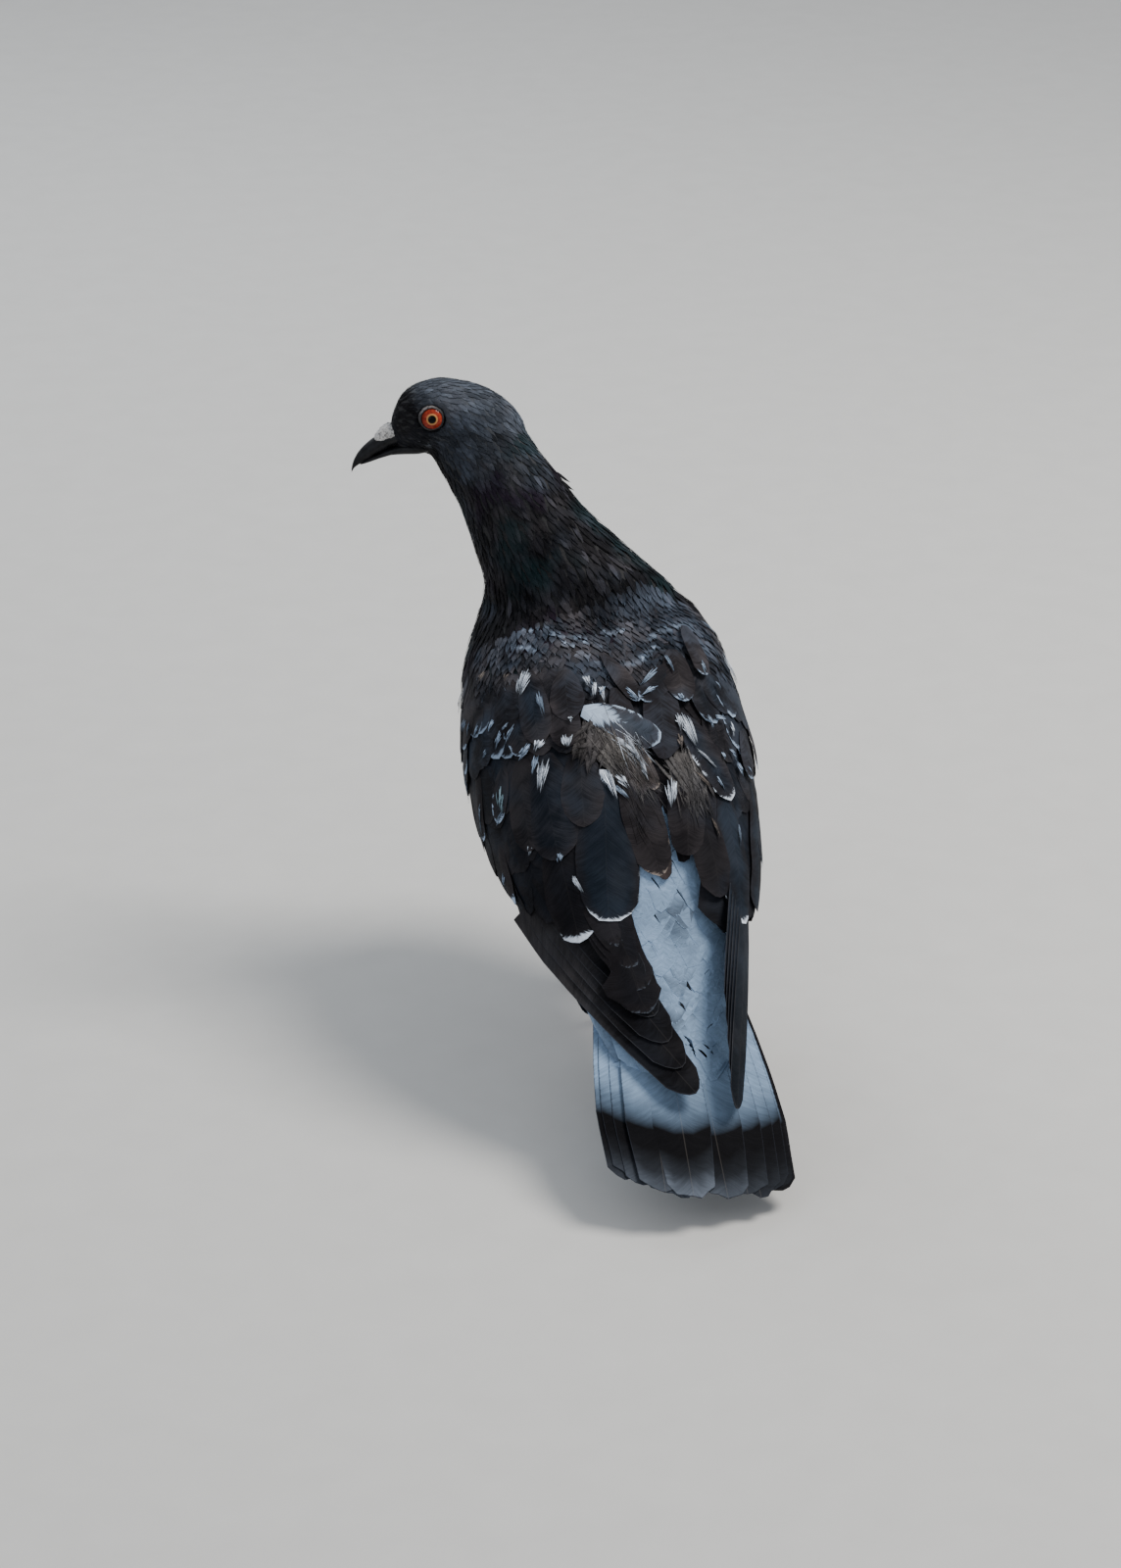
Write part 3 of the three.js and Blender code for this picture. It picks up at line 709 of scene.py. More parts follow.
class Coat:
    """Collects vanes of one shape for one piece."""

    def __init__(self, shape):
        self.shape = shape
        self.batches = []

    def lay(
        self, line, up, half, colours, spot, outline, thick, rounding=0.5, camber=0.05, fray=0.0, hug=None
    ):
        """Adds n vanes along line, facing up; both are (n, rows, 3).

        spot is the place of each on the OFBake map, or None for a strip of the map each. Rounding draws
        the sides of the end back and camber bows the vane, in half widths; fray is in lengths. hug is
        (form, heights) and keeps the rows at those heights over the form.
        """
        shape = self.shape
        u = shape.columns
        count = len(line)
        half = np.broadcast_to(half, count).astype(float)
        length = np.linalg.norm(np.diff(line, axis=1), axis=2).sum(1)
        ahead = unit(np.gradient(line, axis=1))
        across = unit(np.cross(ahead, up))
        wide = outline_at(outline, shape.rows)[None, :] * half[:, None]
        grid = line[:, :, None, :] + across[:, :, None, :] * (wide[..., None] * u)[..., None]
        if hug:
            form, heights = hug
            places, up_grid = form.touch(grid)
            grid = places + up_grid * heights[:, :, None, None]
        else:
            up_grid = np.broadcast_to(up[:, :, None, :], grid.shape)
        late, later = (ease(start, 1, shape.rows)[:, None] for start in (0.35, 0.6))
        back = np.minimum(rounding * half, 0.4 * length)[:, None, None] * late * u**2
        torn = fray * length[:, None, None] * CHANCE.random(grid.shape[:3]) * later
        grid = grid - ahead[:, :, None, :] * (back + torn)[..., None]
        grid = grid + up_grid * (camber * half[:, None, None] * (1 - u**2))[..., None]
        slim = 1 - 0.6 * np.abs(u)[:, None]
        thick = np.broadcast_to(thick, count).astype(float)[:, None, None, None]
        under = grid - up_grid * thick * slim
        rows, columns = shape.along, shape.across
        places = np.where(shape.upper[None, :, None], grid[:, rows, columns], under[:, rows, columns])
        each = places.shape[1]
        vane = np.stack([columns / (len(u) - 1), rows / (len(shape.rows) - 1)], 1)
        kept = {
            key: np.repeat(value[:, None], each, axis=1) for key, value in colours.items() if value.ndim == 2
        }
        if colours["tone"].ndim == 3:
            kept["tone"] = colours["tone"][:, rows]
        size = np.stack([half, length, CHANCE.random(count)], 1)
        kept["size"] = np.repeat(size[:, None], each, axis=1)
        kept["places"] = places
        kept["vane"] = np.broadcast_to(vane[None], (count, each, 2))
        kept["spot"] = kept["vane"] if spot is None else spot[:, None] + PATCH * (vane[None] - 0.5)
        self.own_strips = spot is None
        self.batches.append({key: value.reshape(-1, value.shape[-1]) for key, value in kept.items()})

    def add(self, name, material, slot, *replaced):
        """The piece of all the vanes."""
        shape = self.shape
        joined = {key: np.concatenate([batch[key] for batch in self.batches]) for key in self.batches[0]}
        each = len(shape.across)
        count = len(joined["places"]) // each
        if self.own_strips:
            joined["spot"] = in_strips(joined["spot"].reshape(count, each, 2)).reshape(-1, 2)
        joined["tone"] = np.concatenate([joined["tone"], joined["haze"]], 1)
        joined["edging"] = np.concatenate([joined["edging"], joined["soft"]], 1)
        faces = (shape.faces[None] + (np.arange(count) * each)[:, None, None]).reshape(-1, 4)
        mesh = bpy.data.meshes.new(name)
        mesh.vertices.add(len(joined["places"]))
        mesh.loops.add(faces.size)
        mesh.polygons.add(len(faces))
        mesh.loops.foreach_set("vertex_index", faces.astype(np.int32).ravel())
        mesh.polygons.foreach_set("loop_start", np.arange(0, faces.size, 4, dtype=np.int32))
        mesh.polygons.foreach_set("loop_total", np.full(len(faces), 4, np.int32))
        set_points(mesh, joined["places"])
        mesh.update(calc_edges=True)
        ends = np.empty(len(mesh.edges) * 2, np.int32)
        mesh.edges.foreach_get("vertices", ends)
        ends = ends.reshape(-1, 2) % each
        rim = shape.on_rim[ends].all(1) & (shape.upper[ends[:, 0]] == shape.upper[ends[:, 1]])
        mesh.attributes.new("sharp_edge", "BOOLEAN", "EDGE").data.foreach_set("value", rim)
        for key in ("tone", "edging", "marks", "mark_tone"):
            add_values(mesh, key, "color", with_alpha(joined[key]))
        for key in ("trim", "size"):
            add_values(mesh, key, "vector", joined[key])
        for key, source in (("OFBake", "spot"), ("vane", "vane")):
            layer = mesh.uv_layers.new(name=key)
            layer.data.foreach_set("uv", joined[source][faces.ravel()].astype(np.float32).ravel())
        add_piece(name, mesh, material, slot, *replaced)


PATCH = 0.003  # width of a tuft's own patch on the OFBake map


def unwrapped(points):
    """Where places lie on the skin rolled out flat: round the body line, and along it."""
    flat = points.reshape(-1, 3)
    ways, station = lie_and_station(flat)
    centre = np.stack([np.interp(station, LINE_STEPS, LINE[:, axis]) for axis in range(3)], 1)
    side = unit(np.cross(ways, (0, 0, 1.0)))
    top = np.cross(side, ways)
    out = flat - centre
    angle = np.arctan2((out * side).sum(1), (out * top).sum(1))
    return np.stack([0.5 + 0.48 * angle / math.pi, 0.01 + 0.98 * station / LINE_STEPS[-1]], 1)


def spread_spots(spots):
    """Stretches the spots of one piece over the whole map."""
    low, high = spots.min(0), spots.max(0)
    return 0.01 + 0.98 * (spots - low) / np.maximum(high - low, 1e-6)


def in_strips(vane):
    """Long feathers with marks of their own get a strip of the map each."""
    count = len(vane)
    rows = max(1, round(math.sqrt(count / 6)))
    per_row = math.ceil(count / rows)
    index = np.arange(count)
    size = np.array((1 / per_row, 1 / rows))
    centre = (np.stack([index % per_row, index // per_row], 1) + 0.5) * size
    return centre[:, None] + 0.94 * size * (vane - 0.5)


# ---- the outer surface over trunk, wings and tail ----
def dragged(values):
    """One pass of smoothing along both directions of a grid."""
    for axis in (0, 1):
        values = np.moveaxis(values, axis, 0)
        padded = np.concatenate([values[:1], values, values[-1:]])
        values = np.moveaxis((padded[:-2] + 2 * padded[1:-1] + padded[2:]) / 4, 0, axis)
    return values


class Drape:
    """How far the outer surface is from the trunk's own axis, by degrees round it and mm along it."""

    GIRTH_STEP, ALONG_STEP = 3.0, 2.0
    GIRTHS = np.arange(-150.0, 151.0, GIRTH_STEP)
    ALONGS = np.arange(-164.0, 57.0, ALONG_STEP)
    FAR, NEAR, OPEN = 150, 3.0, 8.0  # where rays start, the least distance, and that where none hits
    PASSES = 3

    def __init__(self, nodes):
        bm = bmesh.new()
        for node in nodes:
            bm.from_mesh(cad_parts[node].data)
        tree = BVHTree.FromBMesh(bm)
        bm.free()
        angles = np.radians(self.GIRTHS)
        outward = np.stack([np.sin(angles), 0 * angles, np.cos(angles)], 1)
        reach = np.full((len(self.GIRTHS), len(self.ALONGS)), self.OPEN)
        for row, out in enumerate(outward):
            way = Vector(-TRUNK_TURNED @ out)
            for column, along in enumerate(self.ALONGS):
                start = from_trunk(out * self.FAR + (0, along, 0)) * MM
                hit = tree.ray_cast(Vector(start), way)
                if hit[0] is not None:
                    reach[row, column] = max(self.NEAR, self.FAR - hit[3] / MM)
        for _ in range(self.PASSES):
            reach = dragged(reach)
        local = outward[:, None] * reach[..., None]
        local[..., 1] += self.ALONGS
        self.places = from_trunk(local)
        self.ways = unit(np.cross(np.gradient(self.places, axis=0), np.gradient(self.places, axis=1)))

    def read(self, girth, along):
        """Places and ways out at angles round the trunk and mm along it."""
        row = np.clip((girth - self.GIRTHS[0]) / self.GIRTH_STEP, 0, len(self.GIRTHS) - 1.001)
        column = np.clip((along - self.ALONGS[0]) / self.ALONG_STEP, 0, len(self.ALONGS) - 1.001)
        i, j = row.astype(int), column.astype(int)
        a, b = (row - i)[..., None], (column - j)[..., None]
        found = []
        for grid in (self.places, self.ways):
            near = grid[i, j] * (1 - b) + grid[i, j + 1] * b
            far = grid[i + 1, j] * (1 - b) + grid[i + 1, j + 1] * b
            found.append(near * (1 - a) + far * a)
        return found[0], unit(found[1])

    def touch(self, points):
        return self.read(*girth_and_along(points))

    def on_side(self, girth, along):
        """The place at an angle round the trunk: 0 is the back's middle line, 90 the right side."""
        return self.read(np.array(float(girth)), np.array(float(along)))[0]


# ---- contour feathers, scattered evenly and laid along the body ----
# Their sizes at stations along the body line, all in mm; the gap is from root to root.
SIZES = {
    "station": (0, 12, 24, 44, 70, 110, 140, 165, 240, 330),
    "length": (1.5, 2.0, 3.2, 5.0, 6.5, 8.5, 13, 17, 19, 15),
    "half": (0.40, 0.48, 0.66, 0.80, 0.85, 1.10, 3.0, 5.0, 5.6, 4.4),
    "gap": (0.62, 0.80, 1.10, 1.40, 1.65, 2.1, 3.4, 4.8, 5.4, 4.4),
}

TRIED = 260000


def sized(station, measure):
    """One measure of the feathers at stations along the body line."""
    return np.interp(station, SIZES["station"], SIZES[measure])


def roots_on(form, keep, fine):
    """Evenly spaced roots, at the distances that SIZES gives."""
    many = form.scattered(TRIED)
    _, station = lie_and_station(many)
    gap = sized(station, "gap") * fine * 1
    wanted = CHANCE.random(len(many)) < np.minimum(1, 0.9 / gap**2)
    wanted &= keep(many, station)
    points, gap = many[wanted], gap[wanted]
    tree = KDTree(len(points))
    for index, point in enumerate(points.tolist()):
        tree.insert(point, index)
    tree.balance()
    free = np.ones(len(points), bool)
    chosen = []
    for index, point in enumerate(points.tolist()):
        if free[index]:
            chosen.append(index)
            for _, other, _ in tree.find_range(point, gap[index]):
                free[other] = False
    return points[chosen]


def walk(form, roots, length, rows, swerve):
    """Lines that run from the roots along the lie of the coat, on the form."""
    places, ways = form.touch(roots)
    line, up = [places], [ways]
    for _ in range(rows - 1):
        ahead, _ = lie_and_station(line[-1])
        side = np.cross(ahead, up[-1])
        ahead = ahead + side * swerve[:, None]
        flat = unit(ahead - up[-1] * (ahead * up[-1]).sum(1, keepdims=True))
        places, ways = form.touch(line[-1] + flat * (length / (rows - 1))[:, None])
        line.append(places)
        up.append(ways)
    return np.stack(line, 1), np.stack(up, 1)


EYE_OUT = 11.5  # mm from the head's middle to the front of the eye
EYES = [HEAD_ORIGIN + HEAD_TURNED @ np.array((side * EYE_OUT, 0, 0)) for side in SIDES.values()]
BARE_ROUND_EYE = 4.35


def off_the_eyes(line):
    """Which lines keep clear of the bare rings round the eyes."""
    near = [np.linalg.norm(line - eye, axis=2).min(1) for eye in EYES]
    return np.minimum(*near) > BARE_ROUND_EYE


# Hazy patches of the mantle: degrees round and mm along, the reach of each, and strength.
MANTLE_GLOW = [(-48, 31, 14, 7, 2.2), (-12, 26, 14, 5, 1.0), (38, 30, 13, 9, 0.9), (20, 46, 18, 5, 1.0)]
GLOW = (0.030, 0.037, 0.050)
# Pale soft arcs over the mantle, partly pale feather edges and partly a painted highlight along the
# shoulder's upper edge, as degrees round the trunk and mm along it, and their half width.
ARC_HALF = 0.9
ARCS = [
    [(-62, 39), (-56, 40), (-48, 36), (-41, 31), (-35, 30)],
    [(-35, 28), (-29, 25), (-22, 24), (-17, 22), (-13, 19)],
    [(-34, 24), (-27, 21), (-22, 17), (-16, 13), (-12, 10)],
    [(-14, 18), (-12, 15), (-7, 14), (0, 12), (6, 15), (12, 19), (18, 21)],
    [(-10, 27), (-6, 26), (0, 27)],
    [(13, 24), (19, 27), (28, 31), (33, 32)],
    [(-50, 27), (-44, 24), (-38, 20)],
]


def arc_glow(points):
    """How near places are to one of the arcs, broken up along it."""
    girth, along = girth_and_along(points)
    gap = np.full(girth.shape, 99.0)
    for arc in ARCS:
        shares = np.linspace(0, len(arc) - 1, 40)
        for turn, at in zip(*(np.interp(shares, range(len(arc)), way) for way in zip(*arc))):
            gap = np.minimum(gap, np.hypot(0.7 * (girth - turn), along - at))
    return np.exp(-((gap / ARC_HALF) ** 2)) * (0.6 + 0.4 * np.sin(0.8 * girth + 0.5 * along))


def mantle_look(roots, tone):
    """Tones with the hazy patches, pale ends and their colour, for feathers of the mantle."""
    count = len(roots)
    tone = blend(tone, NIGHT, CHANCE.random(count)) * CHANCE.uniform(0.8, 1.5, (count, 1))
    marks = np.zeros((count, 4))
    marks[:, 3] = CHANCE.uniform(-1.0, 0.9, count).clip(0)
    mark_tone = np.array(ICE) * CHANCE.uniform(0.05, 0.3, (count, 1))
    girth, along = girth_and_along(roots)
    for middle, at, wide, deep, strength in MANTLE_GLOW:
        near = np.exp(-(((girth - middle) / wide) ** 2) - ((along - at) / deep) ** 2)
        tone = tone + np.array(GLOW) * (strength * near * CHANCE.uniform(0.1, 1.3, count))[:, None]
    return tone, marks, mark_tone


def contour_coat(form, shape, low, high, keep, fine=1.0, rise=0.0):
    """Feathers whose roots lie between two stations; fine makes them smaller and closer."""
    coat = Coat(shape)
    roots = roots_on(form, lambda points, station: (station >= low) & (station < high) & keep(points), fine)
    _, station = lie_and_station(roots)
    count = len(roots)
    length = fine * sized(station, "length") * CHANCE.uniform(0.85, 1.2, count)
    line, up = walk(form, roots, length, len(shape.rows), CHANCE.normal(0, 0.12, count))
    clear = off_the_eyes(line)
    roots, station, length, line, up = (kept[clear] for kept in (roots, station, length, line, up))
    count = len(roots)
    lift = CHANCE.uniform(0.0, 1.0, count) * np.interp(station, (125, 145), (0.022, 0.008)) * length + rise
    sunk = 0.07 * length
    heights = lift[:, None] * shape.rows[None] - sunk[:, None] * (1 - shape.rows[None]) ** 2
    uneven = np.interp(station, (0, 40, 60, 125, 145), (0.22, 0.25, 0.45, 0.5, 0.25))
    tone = ground_colour(roots) * np.exp(CHANCE.normal(0, 1, count) * uneven)[:, None]
    if fine < 1:
        tone, marks, mark_tone = mantle_look(roots, tone)
        haze = 1.0
    else:
        marks, mark_tone = 0, SMOKE
        haze = np.interp(station, (0, 12, 30, 60, 115, 145), (0.1, 0.2, 0.5, 0.5, 0.6, 0.5))
    haze = haze * np.interp(tone.mean(1), (0.009, 0.022), (0.45, 1))
    edging = tone * 1.2
    if fine < 1:
        # pale arcs: partly feather edges, partly a painted highlight along the shoulder's upper edge
        arcs = arc_glow(line) * CHANCE.uniform(0.05, 0.85, (count, 1))
        tone = tone[:, None] + np.array(ICE) * arcs[..., None]
    coat.lay(
        line,
        up,
        fine * sized(station, "half") * CHANCE.uniform(0.85, 1.15, count),
        look(count, tone, edging, 0.05 + 0.012 * length, 0.08, 0.9, marks, mark_tone, haze),
        spread_spots(unwrapped(roots)),
        "oval" if low > 120 else "lance",
        0.04 + 0.003 * length,
        camber=0.03,
        fray=0.10 if high < 150 else 0.05,
        hug=(form, heights),
    )
    return coat


# ---- rump ----
RUMP_ROWS = np.arange(-104, -36, 4.2)  # mm along the trunk
RUMP_GAP = 5.2
RUMP_HALF = 6.5
# Dark places among the pale feathers: mm across and along, and the reach both ways.
RUMP_BLOTCH = (7, -74, 7, 8)
RUMP_SLASHES = [(6, -95, 1.8, 3.0), (3, -106, 1.8, 3.0), (10, -101, 1.8, 3.0)]


def spot_at(x, y, across, along, wide, long):
    """1 in the middle of a soft spot, fading to 0 round it."""
    return np.exp(-(((x - across) / wide) ** 2) - ((y - along) / long) ** 2)


def rump_coat(drape):
    """Long soft feathers in rows over the rump and the root of the tail, the hindmost lowest."""
    coat = Coat(MIDDLE)
    rows = MIDDLE.rows
    for order, along in enumerate(RUMP_ROWS):
        left, right = inner_edges(along)
        across = np.arange(left - 11, right + 12, RUMP_GAP)
        across = across + CHANCE.normal(0, 1.0, len(across)) + RUMP_GAP / 2 * (order % 2)
        count = len(across)
        starts = along + CHANCE.normal(0, 1.4, count)
        lengths = CHANCE.uniform(17, 25, count)
        x = across[:, None] + (across[:, None] - 9) * 0.10 * rows
        y = starts[:, None] - lengths[:, None] * rows
        places, ways = over_back(drape, x, y)
        heights = 0.45 + 0.05 * rows[None] - 0.8 * (1 - rows[None]) ** 2 + CHANCE.uniform(0, 0.12, (count, 1))
        x, y, _ = trunk_axes(places)
        share = CHANCE.uniform(0.2, 1, (count, 1))
        tone = blend(np.array(MIST) * 0.9, (0.045, 0.05, 0.06), 0.85 * spot_at(x, y, *RUMP_BLOTCH) * share)
        for slash in RUMP_SLASHES:
            tone = blend(tone, (0.06, 0.07, 0.085), 0.8 * spot_at(x, y, *slash))
        tone = tone * CHANCE.normal(1, 0.05, (count, 1, 1)).clip(0.85, 1.15)
        colours = look(count, tone, MIST, 0.0, 0.05, 1.2)
        spots = spread_spots(unwrapped(places[:, 0]))
        coat.lay(places, ways, RUMP_HALF, colours, spots, "oval", 0.04, 0.8, 0.0, 0.10, (drape, heights))
    return coat


BACK_HEIGHT = 30.0  # mm over the trunk's own axis, where the search for the back starts
BACK_PASSES = 5


def over_back(drape, x, y):
    """The places on the back that are so far across and along, and the way it faces there."""
    z = np.full(x.shape, BACK_HEIGHT)
    for _ in range(BACK_PASSES):
        places, ways = drape.read(np.degrees(np.arctan2(x, z)), y)
        z = 0.5 * z + 0.5 * np.maximum(in_trunk(places)[..., 2], 3)
    return places, ways


# ---- tail ----
# Middles of the feather ends across the tail and their height, from the lowest to the top one.
TAIL_ENDS = [
    (-26.5, 0.0),
    (26.5, 0.0),
    (-24.5, 0.5),
    (24.0, 0.5),
    (-20.5, 1.0),
    (20.0, 1.0),
    (-15.0, 1.5),
    (15.0, 1.5),
    (-10.5, 2.0),
    (7.0, 2.0),
    (-16.3, 2.5),
    (-6.2, 2.9),
]


TAIL_HALF = 9.6  # half width of one feather
TAIL_GREY = (0.12, 0.14, 0.175)
TAIL_RIM = (0.03, 0.034, 0.045)


def tail_coat():
    """Twelve tail feathers; an inner one lies on top."""
    coat = Coat(LARGE)
    count = len(TAIL_ENDS)
    rows = LARGE.rows
    lines = []
    for across, height in TAIL_ENDS:
        root = np.array((TAIL_SIDE + across * 0.55, TAIL_BASE + 4, height))
        reach = TAIL_LENGTH + 1.5 - (0.013 if across < 0 else 0.006) * across**2 + CHANCE.uniform(-0.8, 0.8)
        tip = np.array((TAIL_SIDE + across * 0.86, TAIL_BASE - reach, height))
        bow = np.sin(rows * math.pi)[:, None] * np.array((0.03 * across, 0, 0.8))
        lines.append(from_trunk(between(root, tip, rows) + bow))
    line = np.array(lines)
    up = np.broadcast_to(TRUNK_TURNED[:, 2], line.shape)
    middle = np.exp(-(((np.array([across for across, _ in TAIL_ENDS]) + 5) / 15) ** 2))[:, None]
    tone = np.broadcast_to(MIST, (count, len(rows), 3)) * 0.55
    tone = blend(tone, np.array(MIST) * 0.8, ease(0.15, 0.5, rows) * ease(0.72, 0.6, rows))
    tone = blend(tone, np.array(INK) * 0.6, ease(0.70, 0.74, rows))
    tone = blend(tone, TAIL_GREY, ease(0.90, 1.0, rows) * (0.1 + 0.9 * middle))
    # painted shade: the lowest right tail feather gets a wide black edging where its white outer web lies in
    # shadow
    rightmost = np.arange(count) == 1
    rims = np.where(rightmost[:, None], INK, TAIL_RIM)
    colours = look(count, tone, rims, np.where(rightmost, 1.3, 0.1), 0.4, 0.15)
    coat.lay(line, up, TAIL_HALF, colours, None, "quill", 0.4, 0.5, 0.05, fray=0.02)
    return coat


# ---- wings: rows of feathers, then those that stand out by their size or their pale marks ----
def haze_at(along):
    """The hind feathers of the wing are darker and cleaner than those near the shoulder."""
    return np.interp(along, (-100, -70, -40, 10), (0.02, 0.15, 0.42, 0.75))


WARM_EDGE = (0.0175, 0.0162, 0.0185)  # worn edges of coverts and quills


def lay_row(coat, drape, side, roots, tips, count, half, rise, pale=0.0):
    """A row whose roots and tips run between two ends: degrees round the trunk, mm along it."""
    rows = coat.shape.rows
    shares = (np.arange(count) + 0.5) / count
    shaken = CHANCE.normal(0, 1.0, (count, 2)) * (1.5, 2.0)
    girths, alongs = between(*np.array(roots, float), shares).T
    line = []
    ends = between(*np.array(tips, float), shares) + shaken
    for root, tip in zip(zip(girths, alongs), ends):
        start, stop = drape.on_side(side * root[0], root[1]), drape.on_side(side * tip[0], tip[1])
        line.append(between(start, stop, rows))
    places, ways = drape.touch(np.array(line))
    jitter = CHANCE.uniform(-0.15, 0.15, (count, 1))
    heights = rise[0] + (rise[1] - rise[0]) * rows[None] ** 0.5 - 0.6 * shares[:, None] + jitter
    tone = blend(UMBER, NIGHT, CHANCE.random(count) ** 0.5) * CHANCE.uniform(0.8, 1.2, (count, 1))
    flecked = (CHANCE.random(count) < pale)[:, None]
    marks = np.zeros((count, 4))
    marks[:, 1] = CHANCE.uniform(0, 0.8, count)
    marks[:, 3] = CHANCE.uniform(0.5, 1.6, count)
    marks = flecked * marks
    warm = np.array(WARM_EDGE) * np.interp(tips[0][1], (-70, -35), (0.65, 1))
    colours = look(count, tone, warm, 0.2, 0.04, 0.9, marks, np.array(ICE) * 0.6, haze_at(tips[0][1]), 0.6)
    halves = half * CHANCE.uniform(0.9, 1.1, count)
    coat.lay(places, ways, halves, colours, None, "round", 0.15, 0.75, 0.04, 0.03, (drape, heights))


# Ends of the rows: the inner and the outer feather, as degrees round the trunk and mm along it.
COVERT_ROWS = [
    # roots, tips, count, half width, rise of root and tip, share with pale flecks
    (((30, 2), (114, 20)), ((32, -22), (112, 0)), 13, 5.8, (-0.7, 0.9), 0.3),
    (((26, 12), (112, 30)), ((30, -8), (112, 12)), 13, 5.6, (-0.9, 0.9), 0.3),
]
QUILL_ROWS = [
    (((38, -34), (122, -12)), ((42, -78), (104, -58)), 9, 8.4, (-0.8, 0.1), 0.0),
    (((34, -24), (118, -6)), ((42, -60), (106, -38)), 10, 8.0, (-0.8, 0.3), 0.0),
    (((28, -12), (116, 6)), ((36, -42), (110, -18)), 12, 6.8, (-0.8, 0.6), 0.1),
]

# Feathers that stand out, from the lowest to the uppermost of each group. Places are degrees round
# the trunk (left is negative) and mm along it. marks are mm of base, left edge, right edge and end.
PLUMES = [
    # root, tip, half width, tone, marks, colour of the marks
    # nested ends of the left secondaries
    ((-46, -54), (-29, -106), 8.2, INK, (0, 0.1, 0.1, 0.3), DUSK),
    ((-45, -52), (-33, -98), 7.6, INK, (0, 0.1, 0.1, 0.3), DUSK),
    ((-42, -50), (-36, -90), 7.0, INK, (0, 0.1, 0.1, 0.3), DUSK),
    ((-41, -48), (-41, -83), 6.6, UMBER, (0, 0.1, 0.1, 0.3), DUSK),
    ((-50, -44), (-60, -80), 8.8, INK, (0, 0, 0, 1.8), SNOW),
    # left wing, lower edge
    ((-82, -34), (-87, -56), 2.8, INK, (0, 0, 0, 2.0), ICE),
    ((-82, -6), (-94, -28), 3.6, INK, (0, 0, 0, 0.6), ICE),
    ((-66, -14), (-76, -31), 4.2, NIGHT, (0, 0.6, 0, 1.2), ICE),
    # left greater coverts
    ((-56, -16), (-64, -47), 6.8, (0.0115, 0.0115, 0.0140), (0, 0, 0, 0), SNOW),
    ((-46, -18), (-53, -54), 9.4, NIGHT, (0, 0, 0, 0), ICE),
    ((-30, -20), (-37, -46), 7.0, (0.0115, 0.0125, 0.0160), (0, 0, 0, 0), FAWN),
    ((-22, -28), (-41, -76), 10.6, (0.0105, 0.0150, 0.0225), (3, 0, 0.1, 0.8), SNOW),
    # left median coverts
    ((-53, 0), (-54, -16), 4.4, NIGHT, (0, 0.7, 0, 0.6), ICE),
    ((-30, 10), (-32, -10), 5.6, UMBER, (0, 0, 0, 0), SNOW),
    ((-33, 2), (-35, -19), 5.2, UMBER, (0, 0, 0, 0), SNOW),
    ((-45, 14), (-45, -15), 5.4, NIGHT, (0, 0, 0, 0), SNOW),
    # middle of the back
    ((11, 10), (9, -24), 6.4, UMBER, (0, 0, 0, 0.0), SMOKE),
    ((-10, 2), (-7, -22), 5.0, UMBER, (0, 0, 0, 0.0), SMOKE),
    ((-13, 16), (0, -3), 3.6, UMBER, (0, 0, 0, 0.3), ICE),
    ((24, 14), (1, -3), 4.4, NIGHT, (0, 0, 0, 0.4), ICE),
    ((20, 18), (20, -4), 5.2, UMBER, (0, 0, 0, 0.3), ICE),
    # right scapulars
    ((23, -34), (42, -68), 6.0, INK, (0, 0, 0, 0.0), SMOKE),
    ((17, -22), (21, -56), 6.0, UMBER, (7, 0, 0, 0.0), (0.13, 0.12, 0.115)),
    ((17, -8), (41, -36), 5.6, NIGHT, (0, 0.3, 0, 0.9), SNOW),
    # left scapulars
    ((-13, -18), (2, -61), 7.2, UMBER, (5, 0, 0.2, 0.3), FAWN),
    ((4, -46), (6, -62), 3.0, RUST, (0, 0, 0, 0), UMBER),
    ((-14, -8), (-5, -36), 3.8, (0.085, 0.07, 0.062), (8, 0, 0, 0.0), FAWN),
    ((-12, -12), (4, -34), 3.4, (0.10, 0.082, 0.072), (8, 0, 0.5, 0.5), FAWN),
    ((-26, -7), (9, -17), 6.0, (0.032, 0.040, 0.053), (9, 0.5, 0.8, 0.9), (0.42, 0.52, 0.66)),
    # right wing
    ((60, -22), (72, -66), 5.4, (0.0120, 0.0160, 0.0235), (0, 0.2, 0, 0.0), SMOKE),
    ((37, -32), (60, -74), 6.2, (0.0160, 0.0215, 0.0310), (0, 0.3, 0, 1.4), SNOW),
    ((62, -24), (76, -48), 3.8, NIGHT, (0, 0, 0, 0.5), SNOW),
    ((53, -6), (56, -23), 4.6, UMBER, (0, 0, 0, 0.3), ICE),
    ((64, 8), (70, -12), 4.4, NIGHT, (0, 0, 0, 0.3), ICE),
    ((30, 30), (31, 8), 3.6, UMBER, (0, 0, 0, 0.2), ICE),
]
